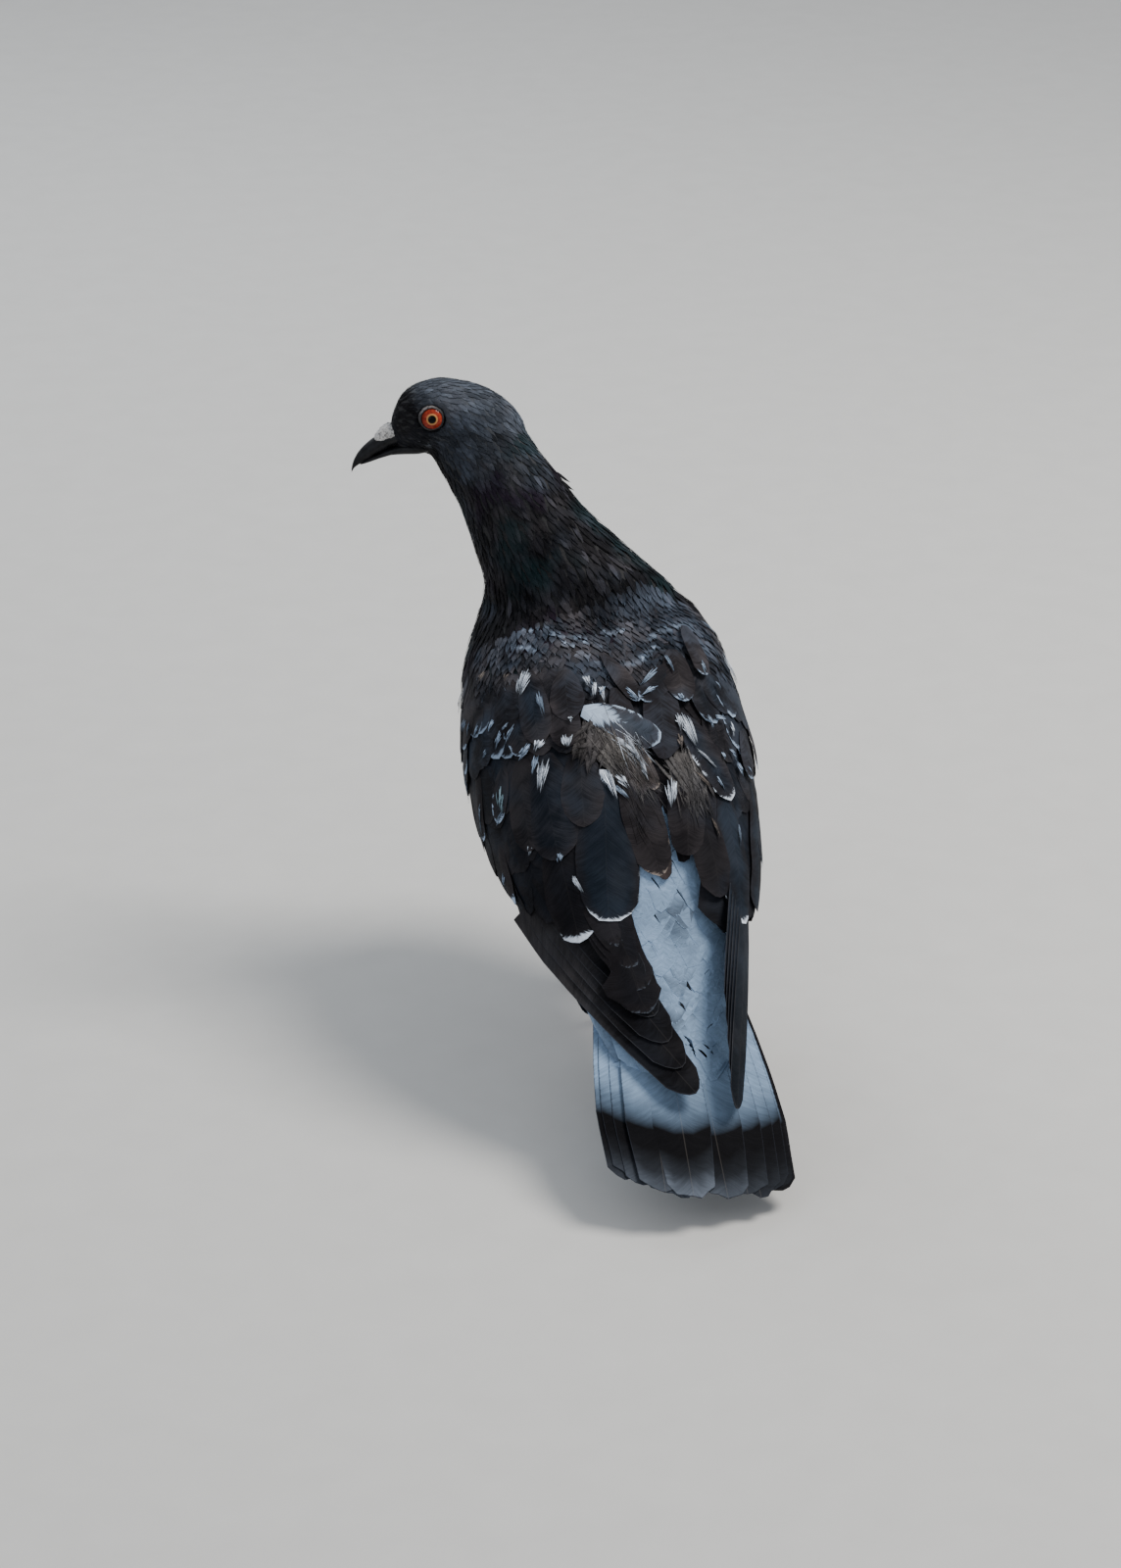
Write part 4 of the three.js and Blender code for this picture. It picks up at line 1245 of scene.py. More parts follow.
# Small flecks: root and tip as above, half width in mm, how pale, and the colour.
FLECKS = [
    # left wing, from the shoulder down
    ((-44, 14.5), (-50, 5), 2.3, 1.0, SNOW),
    ((-42, 5), (-41, -7), 1.1, 0.5, ICE),
    ((-66, 25), (-69, 21), 1.0, 1.0, FAWN),
    ((-53, 17), (-55, 12), 0.9, 0.6, FAWN),
    ((-85, 30), (-90, 20), 0.7, 0.6, ICE),
    ((-84, 16), (-88, 11), 0.7, 0.9, ICE),
    ((-81, 13), (-83, 7), 0.7, 0.7, ICE),
    ((-74, 8), (-79, 2), 0.8, 0.9, ICE),
    ((-64, 5), (-68, -1), 0.8, 0.9, ICE),
    ((-61, -1), (-66, -8), 0.9, 0.9, ICE),
    ((-57, -1), (-61, -4), 0.6, 0.6, ICE),
    ((-54, -2), (-60, -9), 0.5, 0.7, ICE),
    ((-50, -12), (-56, -17), 1.5, 0.9, ICE),
    ((-44, -12), (-48, -17), 1.9, 1.0, SNOW),
    ((-34, -14), (-35, -19), 2.0, 1.0, SNOW),
    ((-31, -8), (-31, -11), 0.7, 0.7, SNOW),
    ((-22, 7), (-22, 1), 1.3, 0.8, SNOW),
    ((-19, 5), (-21, -4), 0.6, 0.9, SNOW),
    ((-17, 4), (-17, -6), 0.7, 1.0, SNOW),
    ((-15, 2), (-19, -3), 0.5, 0.7, ICE),
    ((-45, -19), (-51, -31), 2.0, 0.9, SNOW),
    ((-48, -17), (-52, -24), 1.0, 0.7, ICE),
    ((-22, -28), (-20, -38), 1.7, 1.0, SNOW),
    ((-18, -29), (-13, -35), 1.5, 0.9, SNOW),
    ((-20, -33), (-14, -38), 0.8, 0.6, ICE),
    ((-70, -19), (-72, -30), 1.7, 0.8, (0.36, 0.52, 0.60)),
    ((-69, -28), (-79, -31), 0.8, 0.7, ICE),
    ((-96, 3), (-98, -10), 0.6, 0.6, ICE),
    ((-83, -13), (-94, -27), 0.6, 0.8, ICE),
    ((-62, -43), (-66, -48), 1.7, 0.9, SNOW),
    ((-51, -51), (-53, -55), 1.1, 0.7, ICE),
    ((-87, -44), (-88, -49), 0.8, 0.9, ICE),
    ((-50, -58), (-47, -68), 0.7, 0.9, SNOW),
    ((-71, -4), (-74, -7), 0.6, 0.6, ICE),
    # middle of the back
    ((-11, -16), (-3, -27), 1.3, 0.9, SNOW),
    ((-5, -22), (-1, -31), 0.8, 0.7, SNOW),
    ((12, -30), (12, -41), 1.7, 1.0, SNOW),
    ((-7, 3), (0, -4), 0.8, 1.0, ICE),
    ((12, 10), (1, 2), 0.9, 0.6, ICE),
    ((11, 3), (0, -2), 0.9, 1.0, ICE),
    ((16, 15), (18, 7), 0.7, 0.5, ICE),
    ((19, 0), (19, -4), 0.9, 0.6, ICE),
    # right wing
    ((51, 27), (54, 12), 1.3, 1.0, SNOW),
    ((31, 17), (32, 8), 0.8, 0.7, ICE),
    ((41, 36), (49, 31), 0.5, 0.6, ICE),
    ((38, 9), (39, 4), 0.5, 0.5, ICE),
    ((16, -8), (17, -15), 1.2, 0.9, SNOW),
    ((18, -8), (24, -22), 1.8, 1.0, SNOW),
    ((23, -20), (33, -27), 0.5, 0.8, SNOW),
    ((31, -26), (37, -34), 0.5, 0.7, ICE),
    ((16, -15), (17, -21), 0.8, 0.8, FAWN),
    ((22, -28), (31, -35), 0.6, 0.5, FAWN),
    ((30, -7), (31, -13), 0.9, 0.6, ICE),
    ((34, -7), (40, -7), 0.9, 0.8, ICE),
    ((44, -5), (43, -13), 0.6, 0.9, SNOW),
    ((37, -19), (37, -23), 0.6, 0.8, ICE),
    ((41, -16), (45, -21), 0.5, 0.8, ICE),
    ((47, -19), (49, -25), 1.2, 0.9, ICE),
    ((54, -17), (56, -21), 1.4, 0.9, ICE),
    ((67, -1), (70, -9), 1.2, 0.9, ICE),
    ((48, -41), (49, -50), 0.4, 0.5, ICE),
    ((31, -42), (36, -50), 0.5, 0.5, FAWN),
    ((68, -44), (72, -48), 0.6, 0.6, ICE),
    # dark slashes on the rump
    ((34, -92), (41, -98), 0.4, 0.03, SNOW),
    ((13, -101), (18, -107), 0.4, 0.03, SNOW),
]


def lines_over(drape, shape, ends, rise):
    """Lines between roots and tips, each at its own height over the surface."""
    line = [between(drape.on_side(*root), drape.on_side(*tip), shape.rows) for root, tip in ends]
    places, ways = drape.touch(np.array(line))
    heights = rise[:, None] + (0.2 - 0.9 * (1 - shape.rows[None]) ** 2)
    return places, ways, heights


def plume_coat(drape):
    """The feathers of PLUMES, each above the one before."""
    coat = Coat(LARGE)
    count = len(PLUMES)
    half, tone, marks, mark_tone = (np.array([plume[i] for plume in PLUMES]) for i in (2, 3, 4, 5))
    girth, along = np.array([tip for _, tip, *_ in PLUMES]).T
    rise = (0.8 + 1.1 * np.arange(count) / count) * np.interp(np.abs(girth), (45, 75), (1, 0.55))
    line, up, heights = lines_over(drape, LARGE, [plume[:2] for plume in PLUMES], rise)
    hind = np.interp(along, (-75, -40), (0.65, 1))[:, None]
    warm = np.array(UMBER) * np.where(tone[:, :1] > 0.02, 2.5, 1.5) * hind
    colours = look(count, tone, warm, 0.3, 0.05, 1.1, marks, mark_tone, haze_at(along), 0.65)
    coat.lay(line, up, half, colours, None, "round", 0.14, 0.75, 0.05, 0.02, (drape, heights))
    return coat


def fleck_coat(drape):
    """The small pale flecks on wings and back, each a bundle of thin strands."""
    coat = Coat(MIDDLE)
    shown = np.array(FLECK_FADE)[None, :, None]
    for root, tip, half, bright, hue in FLECKS:
        count = 2 + round(half * 7)
        low = float(np.interp(abs(tip[0]), (40, 55, 65), (2.0, 1.6, 0.8)))
        rise = CHANCE.uniform(low, low + 0.5, count)
        places, ways, heights = lines_over(drape, MIDDLE, [(root, tip)] * count, rise)
        spread = np.linspace(-1, 1, count) + CHANCE.normal(0, 0.12, count)
        across = unit(np.cross(places[:, -1] - places[:, 0], ways[:, 0]))
        cuts = CHANCE.uniform((0, 0.65), (0.3, 1.1), (count, 2)) + 0.12 * spread[:, None] ** 2 * (1, -1)
        along = cuts[:, :1] + (cuts[:, 1:] - cuts[:, :1]) * MIDDLE.rows
        middle = places[:, :1] + along[..., None] * (places[:, -1:] - places[:, :1])
        fan = half * spread[:, None] * (1 - 0.6 * MIDDLE.rows)
        line, up = drape.touch(middle + across[:, None] * fan[..., None])
        pale = np.array(hue) * bright * CHANCE.uniform(0.6, 1.5, (count, 1))
        tone = pale[:, None] * shown + np.array(NIGHT) * (1 - shown)
        colours = look(count, tone, NIGHT, 0.03, 0.0, 0.2)
        halves = CHANCE.uniform(0.13, 0.3, count)
        coat.lay(line, up, halves, colours, None, "lance", 0.06, 0.3, 0.0, 0.1, (drape, heights))
    return coat


def wing_rows(drape, shape, table):
    """The rows of a table, on both wings."""
    coat = Coat(shape)
    for side in SIDES.values():
        for row in table:
            lay_row(coat, drape, side, *row)
    return coat


# ---- primaries ----
# The longest primary of each wing in the trunk's frame and the steps to the next inner one: root,
# tip, step of the root, step of the tip, half width, and degrees it leans outward at root and tip.
PRIMARIES = [
    ((-39, -60, 4), (4.5, -133, 10.0), (2.2, 2.0, 2.2), (-3.2, 9.0, 0.9), 7.9, (-34, -10)),
    ((33, -60, 15), (17.0, -138, 9.0), (-1.0, 1.5, 1.4), (0.6, 8.0, 1.2), 6.2, (62, 52)),
]
SHOWN_PRIMARIES = 5


def primary_coat():
    """The shown primaries of both wings, the left ones worn grey at the root."""
    coat = Coat(LARGE)
    rows = LARGE.rows
    lines, ups = [], []
    for root, tip, next_root, next_tip, _, lean in PRIMARIES:
        tilt = np.radians(lean[0] + (lean[1] - lean[0]) * rows)
        local = np.stack([np.sin(tilt), np.zeros(len(rows)), np.cos(tilt)], 1)
        bow = np.sin(rows * math.pi)[:, None] * np.array((0, 0, 1.0))
        for step in range(SHOWN_PRIMARIES):
            start = np.array(root) + step * np.array(next_root)
            end = np.array(tip) + step * np.array(next_tip)
            lines.append(from_trunk(between(start, end, rows) + bow))
            ups.append(local @ TRUNK_TURNED.T)
    count = len(lines)
    half = np.repeat([row[4] for row in PRIMARIES], SHOWN_PRIMARIES)
    on_left = (np.arange(count) < SHOWN_PRIMARIES)[:, None]
    tone = np.where(on_left, np.array(INK) * 0.75, np.array(NIGHT) * 0.75)
    worn = np.where(on_left, (0.036, 0.034, 0.036), np.array(NIGHT) * 1.5)
    tone = blend(worn[:, None], tone[:, None], ease(0.35, 0.85, rows))
    colours = look(count, tone, (0.042, 0.043, 0.050), 0.18, 0.15, 0.2, haze=0.12)
    coat.lay(np.array(lines), np.array(ups), half, colours, None, "paddle", 0.45, 0.9, 0.06)
    return coat


# ---- loose down between the scapulars ----
# Share of a wisp's own colour along it, from root to tip, and the same for a fleck.
WISP_FADE = (0.45, 0.85, 0.9, 0.6, 0.3, 0.08)
FLECK_FADE = (0.55, 1.0, 1.0, 0.8, 0.45, 0.05)
WISPS = [
    # middles of the root and tip patches (degrees round, mm along), broad ones, strands, colour
    ((-21, -15), (-31, -24), 12, 10, (0.085, 0.078, 0.076)),
    ((-19, -14), (-10, -31), 30, 36, (0.21, 0.195, 0.185)),
    ((-15, -17), (0, -36), 30, 36, (0.25, 0.235, 0.225)),
    ((-15, -13), (-4, -25), 8, 30, SNOW),
    ((17, -26), (24, -43), 22, 36, (0.14, 0.13, 0.125)),
    ((-14, -30), (-4, -48), 10, 14, (0.045, 0.040, 0.040)),
]


def wisp_coat(drape):
    """Soft loose feathers over the back, pale at the root, with thin strands among them."""
    coat = Coat(MIDDLE)
    faded = np.array(WISP_FADE)[None, :, None]
    for root, tip, broad, strands, tone in WISPS:
        tone = np.array(tone)
        for count, low, high, bottom, ragged in (
            (3 * broad, 0.35, 1.1, 0.9, 1.0),
            (2 * strands, 0.04, 0.11, 1.3, 0.1),
        ):
            starts = np.array(root) + CHANCE.normal(0, 2.6, (count, 2)) * 1.7
            stops = np.array(tip) + CHANCE.normal(0, 3.2, (count, 2)) * (1.3, 1)
            rise = bottom + CHANCE.uniform(0, 0.9, count)
            line, up, heights = lines_over(drape, MIDDLE, list(zip(starts, stops)), rise)
            shade = tone * CHANCE.uniform(0.65, 1.15, (count, 1))
            shade = shade[:, None] * faded + np.array(UMBER) * (1 - faded)
            half = CHANCE.uniform(low, high, count)
            colours = look(count, shade, tone * 0.3, 0.2 * half, 0.0, ragged, haze=0.3)
            coat.lay(line, up, half, colours, None, "lance", 0.05, 0.4, 0.0, 0.22, (drape, heights))
    return coat


# ---- feathers that end the thigh round the top of the bare shank ----
# Hip and ankle of each leg in the frame of the part, and the shares of the way where rings start.
THIGHS = [((-14, 8, 64), (-2, -16, 35)), ((20, 24, 64), (30, 13, 35))]
THIGH_RINGS = (0.90, 0.82, 0.73, 0.64)
THIGH_COUNT = 15
THIGH_HALF = 1.7


def thigh_coat(form):
    """Rings of small feathers round both thighs, the upper ones over the lower ones."""
    coat = Coat(MIDDLE)
    rows = MIDDLE.rows
    for hip, ankle in THIGHS:
        hip, ankle = np.array(hip) + SHIFT, np.array(ankle) + SHIFT
        axis = unit(ankle - hip)
        side = unit(np.cross(axis, (1, 0, 0)))
        for ring, share in enumerate(THIGH_RINGS):
            angle = 2 * math.pi * (np.arange(THIGH_COUNT) + 0.5 * ring) / THIGH_COUNT
            angle = angle + CHANCE.normal(0, 0.07, THIGH_COUNT)
            out = np.cos(angle)[:, None] * side + np.sin(angle)[:, None] * np.cross(axis, side)
            root, _ = form.touch(hip + (ankle - hip) * share + out * 7)
            tip = ankle + axis * (1.6 - 2.6 * ring) + out * (2.9 + 0.55 * ring)
            bulge = 0.7 * np.sin(rows * math.pi)[None, :, None] * out[:, None]
            line = root[:, None] + rows[None, :, None] * (tip - root)[:, None] + bulge
            up = np.broadcast_to(out[:, None], line.shape)
            tone = np.array(SMOKE) * CHANCE.uniform(0.6, 1.1, (THIGH_COUNT, 1))
            colours = look(THIGH_COUNT, tone, tone, 0.1, 0.08, 0.9, haze=0.2)
            spots = spread_spots(unwrapped(root))
            coat.lay(line, up, THIGH_HALF, colours, spots, "oval", 0.1, 0.6, 0.1, 0.08)
    return coat


# ---- two small feathers that stand off the nape, in the frame of the part ----
# root, tip and half width
LOOSE_UP = np.array((0.75, -0.2, 0.62))
LOOSE = [((-2.5, 45.4, 181.0), (2.6, 45.4, 176.6), 1.4), ((-1.5, 45.0, 178.5), (3.8, 45.0, 173.8), 1.3)]


def loose_coat():
    """The feathers of LOOSE."""
    coat = Coat(MIDDLE)
    line = np.array([between(root, tip, MIDDLE.rows) + SHIFT for root, tip, _ in LOOSE])
    colours = look(len(LOOSE), INK, INK, 0.1, 0.1, 0.5)
    up = np.broadcast_to(unit(LOOSE_UP), line.shape)
    coat.lay(line, up, [half for *_, half in LOOSE], colours, None, "lance", 0.1, 0.3, 0.1, 0.1)
    return coat


# ---- skin ----
FLESH = ["trunk", "neck", "head", "thigh_left", "thigh_right", "wing_left_coverts", "wing_right_coverts"]
WING_SHELLS = ["wing_left_secondaries", "wing_right_secondaries"]
# stations along the body line, and how deep the skin lies under the solids there
SKIN_DEPTHS = [(0, 20, 60, 130, 170, 330), (0.9, 1.0, 1.15, 1.5, 2.2, 2.2)]


def skin_material():
    """Bare skin in the colours of the coat above it, a little mottled."""
    material, n = new_material("skin_under_plumage")
    grain = n.noise(n.place(), 900.0, 3.0)
    colour = n.shaded(n.attribute("tone", "Color"), n.linear(grain, 0.6, 0.55))
    n.surface({"Base Color": colour, "Roughness": 0.8}, grain, 0.0003)
    return material


def add_skin():
    """The skin under the whole coat, in the place of the flesh."""
    mesh = body_mesh(FLESH)
    points = points_of(mesh)
    _, station = lie_and_station(points)
    depth = np.interp(station, *SKIN_DEPTHS)
    tones = ground_colour(points)
    set_points(mesh, points - normals_of(mesh) * depth[:, None])
    add_values(mesh, "tone", "color", with_alpha(tones))
    add_piece("skin", mesh, skin_material(), "trunk_plumage", *FLESH)


# ---- head: eyes, bill, cere ----
EYE_SIGHT = 4.7  # mm, what the rings map calls 1
EYE_RINGS = [
    # where a ring starts and where it is full, in shares of EYE_SIGHT, and its colour
    (0.44, 0.36, (0.52, 0.24, 0.085)),
    (0.315, 0.295, (0.16, 0.085, 0.010)),
    (0.68, 0.75, (0.10, 0.008, 0.004)),
    (0.75, 0.79, (0.004, 0.003, 0.004)),
    (0.285, 0.265, (0.0004, 0.0005, 0.0006)),
]


def ringed_eye_material():
    """The orange iris between a dark pupil and a dark rim, with a wet coat."""
    material, n = new_material("eye_rings")
    reach, _, _ = n.parts(n.node("UVMap", uv_map="rings").outputs[0])
    veins = n.noise(n.place(), 1300.0, 3.0)
    shown = n.mix(n.map(veins, 0.3, 0.7), (0.16, 0.012, 0.007, 1), (0.37, 0.042, 0.016, 1))
    for start, full, colour in EYE_RINGS:
        shown = n.mix(n.map(reach, start, full), shown, (*colour, 1))
    gloss = {"Roughness": 0.3, "Specular IOR Level": 0.05, "Coat Weight": 0.25, "Coat Roughness": 0.04}
    n.surface({"Base Color": shown, **gloss})
    return material


def eye_frame(side):
    return scaled(HEAD) @ Matrix.Translation((side * EYE_SIDE * MM, 0, 0))


def add_eye(word, side, material):
    """The eyeball. Its rings map holds how far each point is from the sight line."""
    bm = bmesh.new()
    bmesh.ops.create_uvsphere(bm, u_segments=48, v_segments=32, radius=(EYE_RADIUS - 0.2) * MM)
    bmesh.ops.rotate(bm, verts=bm.verts, matrix=Matrix.Rotation(math.pi / 2, 3, "Y"))
    layer = bm.loops.layers.uv.new("rings")
    for face in bm.faces:
        for loop in face.loops:
            spot = loop.vert.co
            reach = math.hypot(spot.y, spot.z) / MM / EYE_SIGHT
            loop[layer].uv = (reach if spot.x * side > 0 else 1.0, 0.5)
    bmesh.ops.transform(bm, verts=bm.verts, matrix=eye_frame(side))
    name = f"eyeball_{word}"
    add_piece(name, mesh_of(bm, name), material, "eye", f"eye_{word}")


# The lids' section: reach from the sight line, and how far out.
LID_STEPS = 56
LID_RINGS = [
    (3.4, 3.25),
    (3.5, 3.55),
    (3.75, 3.62),
    (4.0, 3.35),
    (4.25, 2.7),
    (4.5, 1.6),
    (4.0, 1.0),
    (3.4, 2.4),
]


def add_lids(word, side, material):
    """The wrinkled bare ring round the eye, with a painted highlight on its upper side: its section is turned
    about the sight line.
    """
    bm = bmesh.new()
    pale = bm.verts.layers.float.new("pale")
    rings = []
    for reach, out in LID_RINGS:
        rings.append([])
        for angle in turns(LID_STEPS):
            wrinkle = 1 + 0.012 * math.sin(angle * 17) + 0.01 * math.sin(angle * 5 + 1)
            slant = 1 + 0.05 * math.cos(angle - 0.6)
            across = reach * wrinkle * slant
            vert = bm.verts.new((side * out, across * math.cos(angle), across * 0.96 * math.sin(angle)))
            # painted highlight: the outer rings of the lids are pale only on their upper side towards the
            # bill
            vert[pale] = max(0.0, math.cos(angle - 0.9)) ** 2 * (1.0 if reach > 3.8 else 0.0)
            rings[-1].append(vert)
    join_rings(bm, rings, closed=True)
    bmesh.ops.recalc_face_normals(bm, faces=bm.faces)
    name = f"eyelids_{word}"
    add_piece(name, mesh_of(bm, name, eye_frame(side)), material, "eye")


# The two halves of the bill in the head's frame.
UPPER_BILL = {
    "along": (4, 8, 12, 15, 18, 21, 23.5, 25.4, 26.6, 27.2, 27.4),
    "top": (-4.5, -3.8, -4.0, -4.8, -6.2, -8.3, -10.5, -12.8, -15.0, -16.9, -18.2),
    "low": (-9.0, -9.2, -9.9, -11.2, -12.9, -14.7, -16.0, -17.0, -18.0, -19.0, -19.5),
    "half": (4.6, 4.6, 4.2, 3.7, 3.1, 2.5, 2.0, 1.5, 1.0, 0.55, 0.35),
}
LOWER_BILL = {
    "along": (1, 5, 10, 14, 18, 21, 23.2, 24.4),
    "top": (-9.4, -9.0, -9.4, -10.7, -12.6, -14.1, -15.3, -16.1),
    "low": (-12.4, -13.2, -13.3, -13.5, -14.7, -15.8, -16.5, -16.8),
    "half": (4.0, 4.2, 3.7, 3.1, 2.5, 1.9, 1.2, 0.5),
}
BILL_RINGS = 30  # closest together at the tip
BILL_SIDES = 28


def bill_half(name, rows, node, material, ridge):
    """A closed horn from oval rings; ridge pinches its upper side into a roof."""
    bm = bmesh.new()
    root, tip = rows["along"][0], rows["along"][-1]
    rings = []
    for along in root + (tip - root) * np.sin(np.linspace(0, math.pi / 2, BILL_RINGS)):
        top, low, half = (np.interp(along, rows["along"], rows[key]) for key in ("top", "low", "half"))
        middle, reach = (top + low) / 2, (top - low) / 2
        rings.append([])
        for angle in turns(BILL_SIDES):
            c, s = math.cos(angle), math.sin(angle)
            wide = half * math.copysign(abs(c) ** 0.85, c) * (1 - ridge * max(s, 0) ** 2)
            high = middle + reach * math.copysign(abs(s) ** 0.9, s)
            rings[-1].append(bm.verts.new((wide, along, high)))
    join_rings(bm, rings)
    bmesh.ops.holes_fill(bm, edges=bm.edges, sides=BILL_SIDES)
    smooth_out(bm, 0.4, 2)
    bmesh.ops.recalc_face_normals(bm, faces=bm.faces)
    add_piece(name, mesh_of(bm, name, scaled(HEAD)), material, "bill", node)


CERE_BALLS = [
    # across, along, up, radius along and radius round
    (2.0, 15.6, -5.8, 3.8, 2.35),
    (1.6, 17.5, -7.0, 2.3, 1.8),
    (2.5, 14.0, -5.7, 2.4, 2.1),
    (0.6, 15.0, -5.2, 2.8, 1.8),
]


def add_cere(material):
    """Two chalky lumps over the nostrils, each of a few balls run together."""
    bm = bmesh.new()
    for side in SIDES.values():
        for across, along, up, long, round_ in CERE_BALLS:
            ball = bmesh.ops.create_uvsphere(bm, u_segments=24, v_segments=16, radius=1)["verts"]
            bmesh.ops.scale(bm, verts=ball, vec=(round_, long, round_))
            bmesh.ops.rotate(bm, verts=ball, matrix=Matrix.Rotation(math.radians(-36), 3, "X"))
            bmesh.ops.translate(bm, verts=ball, vec=(side * across, along, up))
    mesh = evened(mesh_of(bm, "cere_balls", scaled(HEAD)), 0.22, 6)
    points = points_of(mesh)
    x, y, z = points.T
    lumps = np.sin(2.9 * x + 1.3) * np.sin(3.1 * y) * np.sin(2.7 * z + 0.7)
    lumps += 0.5 * np.sin(6.3 * x) * np.sin(5.9 * y + 2) * np.sin(6.7 * z)
    set_points(mesh, points + normals_of(mesh) * 0.24 * lumps[:, None])
    _, along, up = in_head(points).T
    chalky = ease(-9.2, -6.6, up + 0.35 * (along - 15)) * 0.85 + 0.15 + 0.25 * lumps
    add_values(mesh, "pale", "value", chalky.clip(0, 1))
    add_piece("cere_lobes", mesh, material, "cere", "cere")


def simple_material(name, colour, second, scale, roughness, relief, coat=0.0, gloss=0.5, pale=None):
    """Two shades in a fine grain. pale is the colour where the attribute of that name is 1."""
    material, n = new_material(name)
    grain = n.noise(n.place(), scale, 4.0, 0.6)
    shown = n.mix(n.map(grain, 0.35, 0.65), (*colour, 1), (*second, 1))
    if pale:
        share = n.times(n.attribute("pale", "Fac"), n.map(grain, 0.3, 0.55))
        shown = n.mix(share, shown, (*pale, 1))
    inputs = {
        "Base Color": shown,
        "Roughness": n.linear(grain, 0.2, roughness - 0.1),
        "Coat Weight": coat,
        "Specular IOR Level": gloss,
    }
    n.surface(inputs, grain, relief)
    return material


def scute_material():
    """Coral skin in small raised plates."""
    material, n = new_material("leg_coral")
    place = n.place()
    plates = n.fed(n.node("TexVoronoi", feature="DISTANCE_TO_EDGE"), Vector=place, Scale=620.0)
    raised = n.map(plates.outputs["Distance"], 0.0, 0.22)
    grain = n.noise(place, 420.0, 3.0)
    flesh = n.mix(grain, (0.26, 0.045, 0.042, 1), (0.42, 0.105, 0.090, 1))
    colour = n.mix(raised, (0.15, 0.025, 0.026, 1), flesh)
    n.surface({"Base Color": colour, "Roughness": n.linear(grain, 0.2, 0.45)}, raised, 0.0004)
    return material


def add_smooth_copy(name, nodes, voxel, smooths, material, slot, swell=0.05):
    """A finer, rounder piece in the place of one or more solids."""
    mesh = evened(mesh_of(merged(nodes, swell), name), voxel, smooths)
    add_piece(name, mesh, material, slot, *nodes)


# ---- everything ----
def add_floor():
    bm = bmesh.new()
    bmesh.ops.create_grid(bm, x_segments=1, y_segments=1, size=6)
    material, n = new_material("pale_floor")
    colour = n.mix(n.noise(n.place(), 60.0, 4.0), (0.60, 0.59, 0.57, 1), (0.66, 0.65, 0.63, 1))
    n.surface({"Base Color": colour, "Roughness": 0.9})
    mesh = mesh_of(bm, "floor")
    mesh.materials.append(material)
    new_object("floor", mesh)


def everywhere(points):
    return np.ones(len(points), bool)


def clear_of_wing_and_rump(points):
    """Not where rows of wing feathers or the long feathers of the rump lie."""
    x, y, z = trunk_axes(points)
    low = -22 - 0.25 * (y + 20)
    under_rows = (y < -8 - 0.1 * np.abs(x)) & (z > low) & ((np.abs(x) > 12) | (y < -38))
    return ~(under_rows | ((y < -76) & (z > -14)))


def on_mantle(points):
    x, y, z = trunk_axes(points)
    return (y > 9 - 0.1 * np.abs(x)) & (y < 47) & (z > 0.35 * np.abs(x))


COAT_INSET = 0.8  # how deep in the solids the roots of the body's coat are
BACK = ["trunk", "tail"]
WING_PARTS = ("coverts", "secondaries", "primaries")


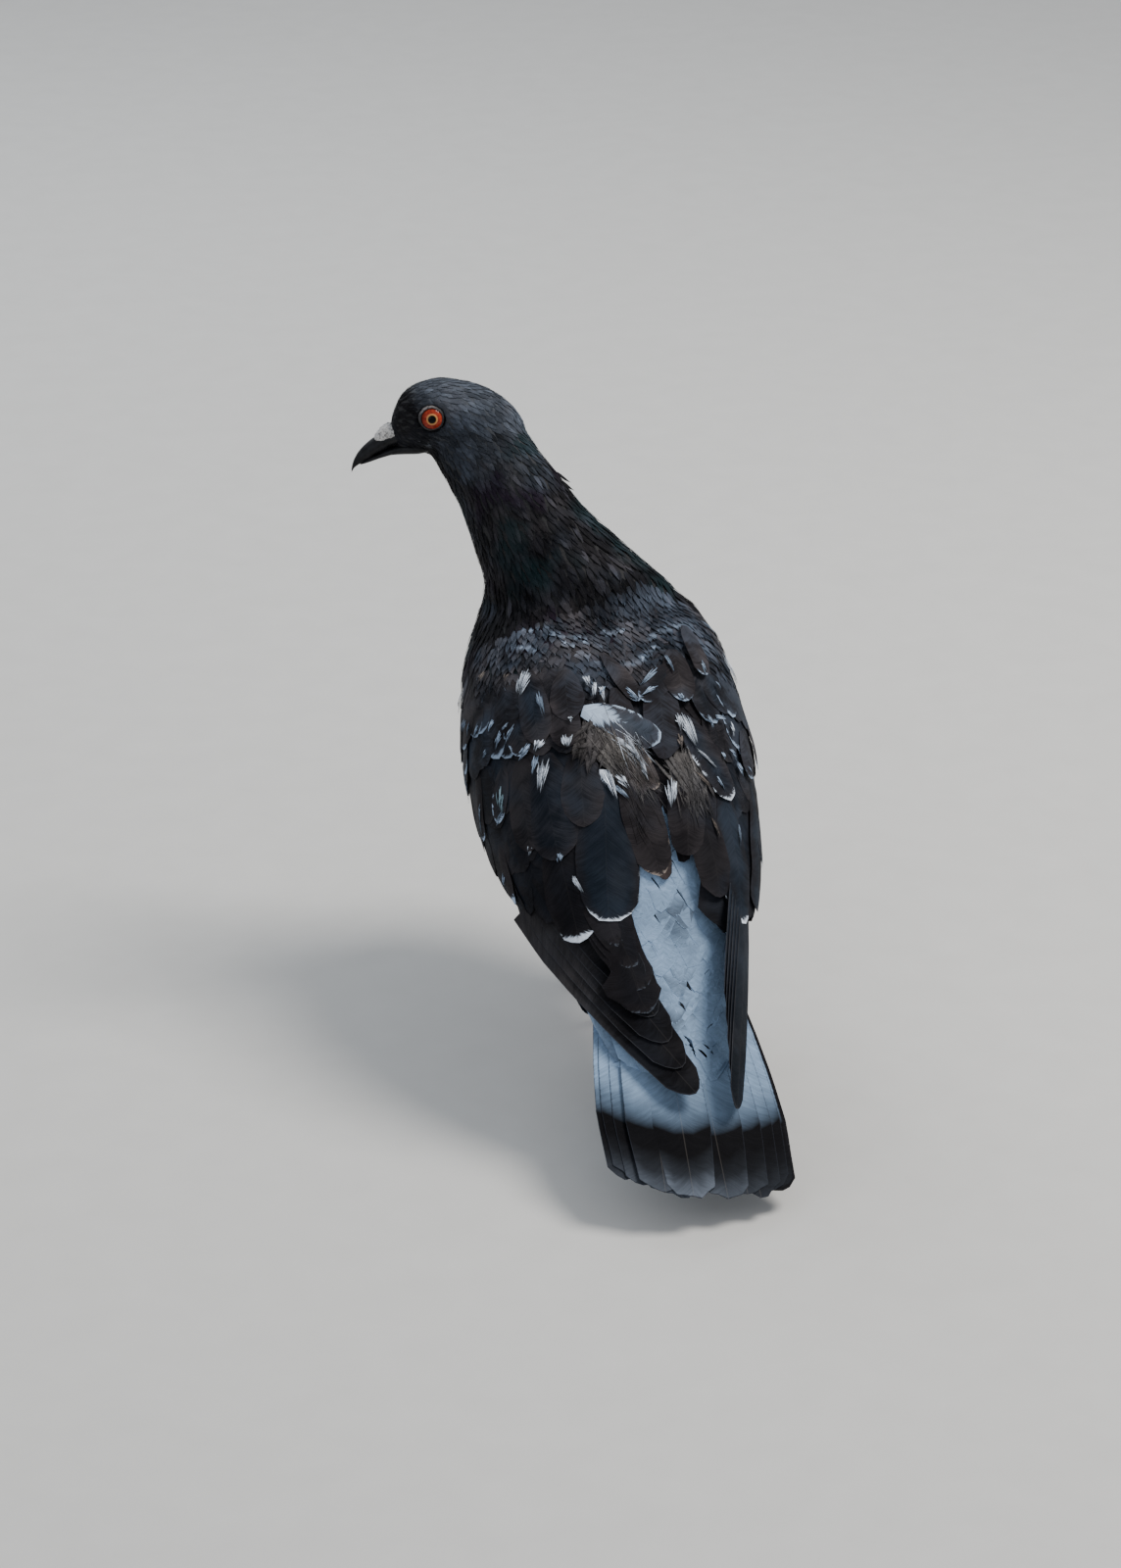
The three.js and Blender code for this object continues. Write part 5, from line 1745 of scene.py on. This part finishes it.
def add_plumage():
    """The whole coat, piece by piece."""
    form = Form(body_mesh(FLESH + WING_SHELLS), COAT_INSET)
    drape = Drape(BACK + [f"wing_{word}_{part}" for word in SIDES for part in WING_PARTS])
    marks = make_vane_marks()
    bird = plumage_material("trunk_vanes", marks)
    head = plumage_material("head_vanes", marks)
    neck = plumage_material("neck_vanes", marks, painted_neck_sheen)
    wing = plumage_material("wing_vanes", marks)
    tail = plumage_material("tail_vanes", marks)
    contour_coat(form, SMALL, -5, 50, everywhere).add("head_plumage", head, "head_plumage")
    contour_coat(form, SMALL, 50, 130, everywhere).add("neck_plumage", neck, "neck_plumage")
    contour_coat(form, MIDDLE, 130, 400, clear_of_wing_and_rump).add("trunk_plumage", bird, "trunk_plumage")
    contour_coat(form, MIDDLE, 118, 240, on_mantle, 0.55, 0.5).add("mantle_plumage", bird, "trunk_plumage")
    rump_coat(Drape(BACK)).add("rump_plumage", bird, "trunk_plumage")
    wing_rows(drape, MIDDLE, COVERT_ROWS).add("wing_coverts", wing, "wing_plumage")
    wing_rows(drape, LARGE, QUILL_ROWS).add("wing_quills", wing, "wing_plumage", *WING_SHELLS)
    plume_coat(drape).add("marked_plumes", wing, "wing_plumage")
    thigh_coat(form).add("thigh_plumage", bird, "trunk_plumage")
    loose_coat().add("nape_feathers", neck, "neck_plumage")
    fleck_coat(drape).add("pale_flecks", wing, "wing_plumage")
    wisp_coat(drape).add("back_wisps", wing, "wing_plumage")
    shells = [f"wing_{word}_primaries" for word in SIDES]
    primary_coat().add("primaries", wing, "primary_plumage", *shells)
    tail_coat().add("tail_feathers", tail, "tail_plumage", "tail")


def add_face():
    """Eyes, lids, bill and cere."""
    rings = ringed_eye_material()
    # pale is the colour of the painted highlight on the lids
    dark, grey, pale = (0.004, 0.004, 0.005), (0.018, 0.017, 0.019), (0.20, 0.18, 0.18)
    lid_skin = simple_material("lid_skin", dark, grey, 1300, 0.6, 0.0003, pale=pale)
    for word, side in SIDES.items():
        add_eye(word, side, rings)
        add_lids(word, side, lid_skin)
    dark, grey = (0.0015, 0.0015, 0.002), (0.010, 0.010, 0.012)
    horn = simple_material("bill_horn", dark, grey, 420, 0.38, 0.0001, gloss=0.22)
    bill_half("bill_upper", UPPER_BILL, "upper_bill", horn, 0.35)
    bill_half("bill_lower", LOWER_BILL, "lower_bill", horn, 0.0)
    dark, grey, pale = (0.10, 0.095, 0.095), (0.30, 0.29, 0.28), (0.70, 0.68, 0.66)
    add_cere(simple_material("cere_chalk", dark, grey, 1100, 0.9, 0.0006, pale=pale))


def add_legs():
    coral = scute_material()
    dark, grey = (0.010, 0.009, 0.008), (0.035, 0.03, 0.028)
    claw_horn = simple_material("claw_horn", dark, grey, 300, 0.4, 0.0001, 0.2)
    for word in SIDES:
        add_smooth_copy(f"leg_{word}", [f"shank_{word}", f"foot_{word}"], 0.5, 4, coral, "leg_skin", 0.15)
        for toe in ("inner", "middle", "outer", "hind"):
            add_smooth_copy(f"claw_tip_{toe}_{word}", [f"claw_{toe}_{word}"], 0.25, 2, claw_horn, "claw")


add_camera()
add_studio()
add_floor()
add_skin()
add_plumage()
add_face()
add_legs()
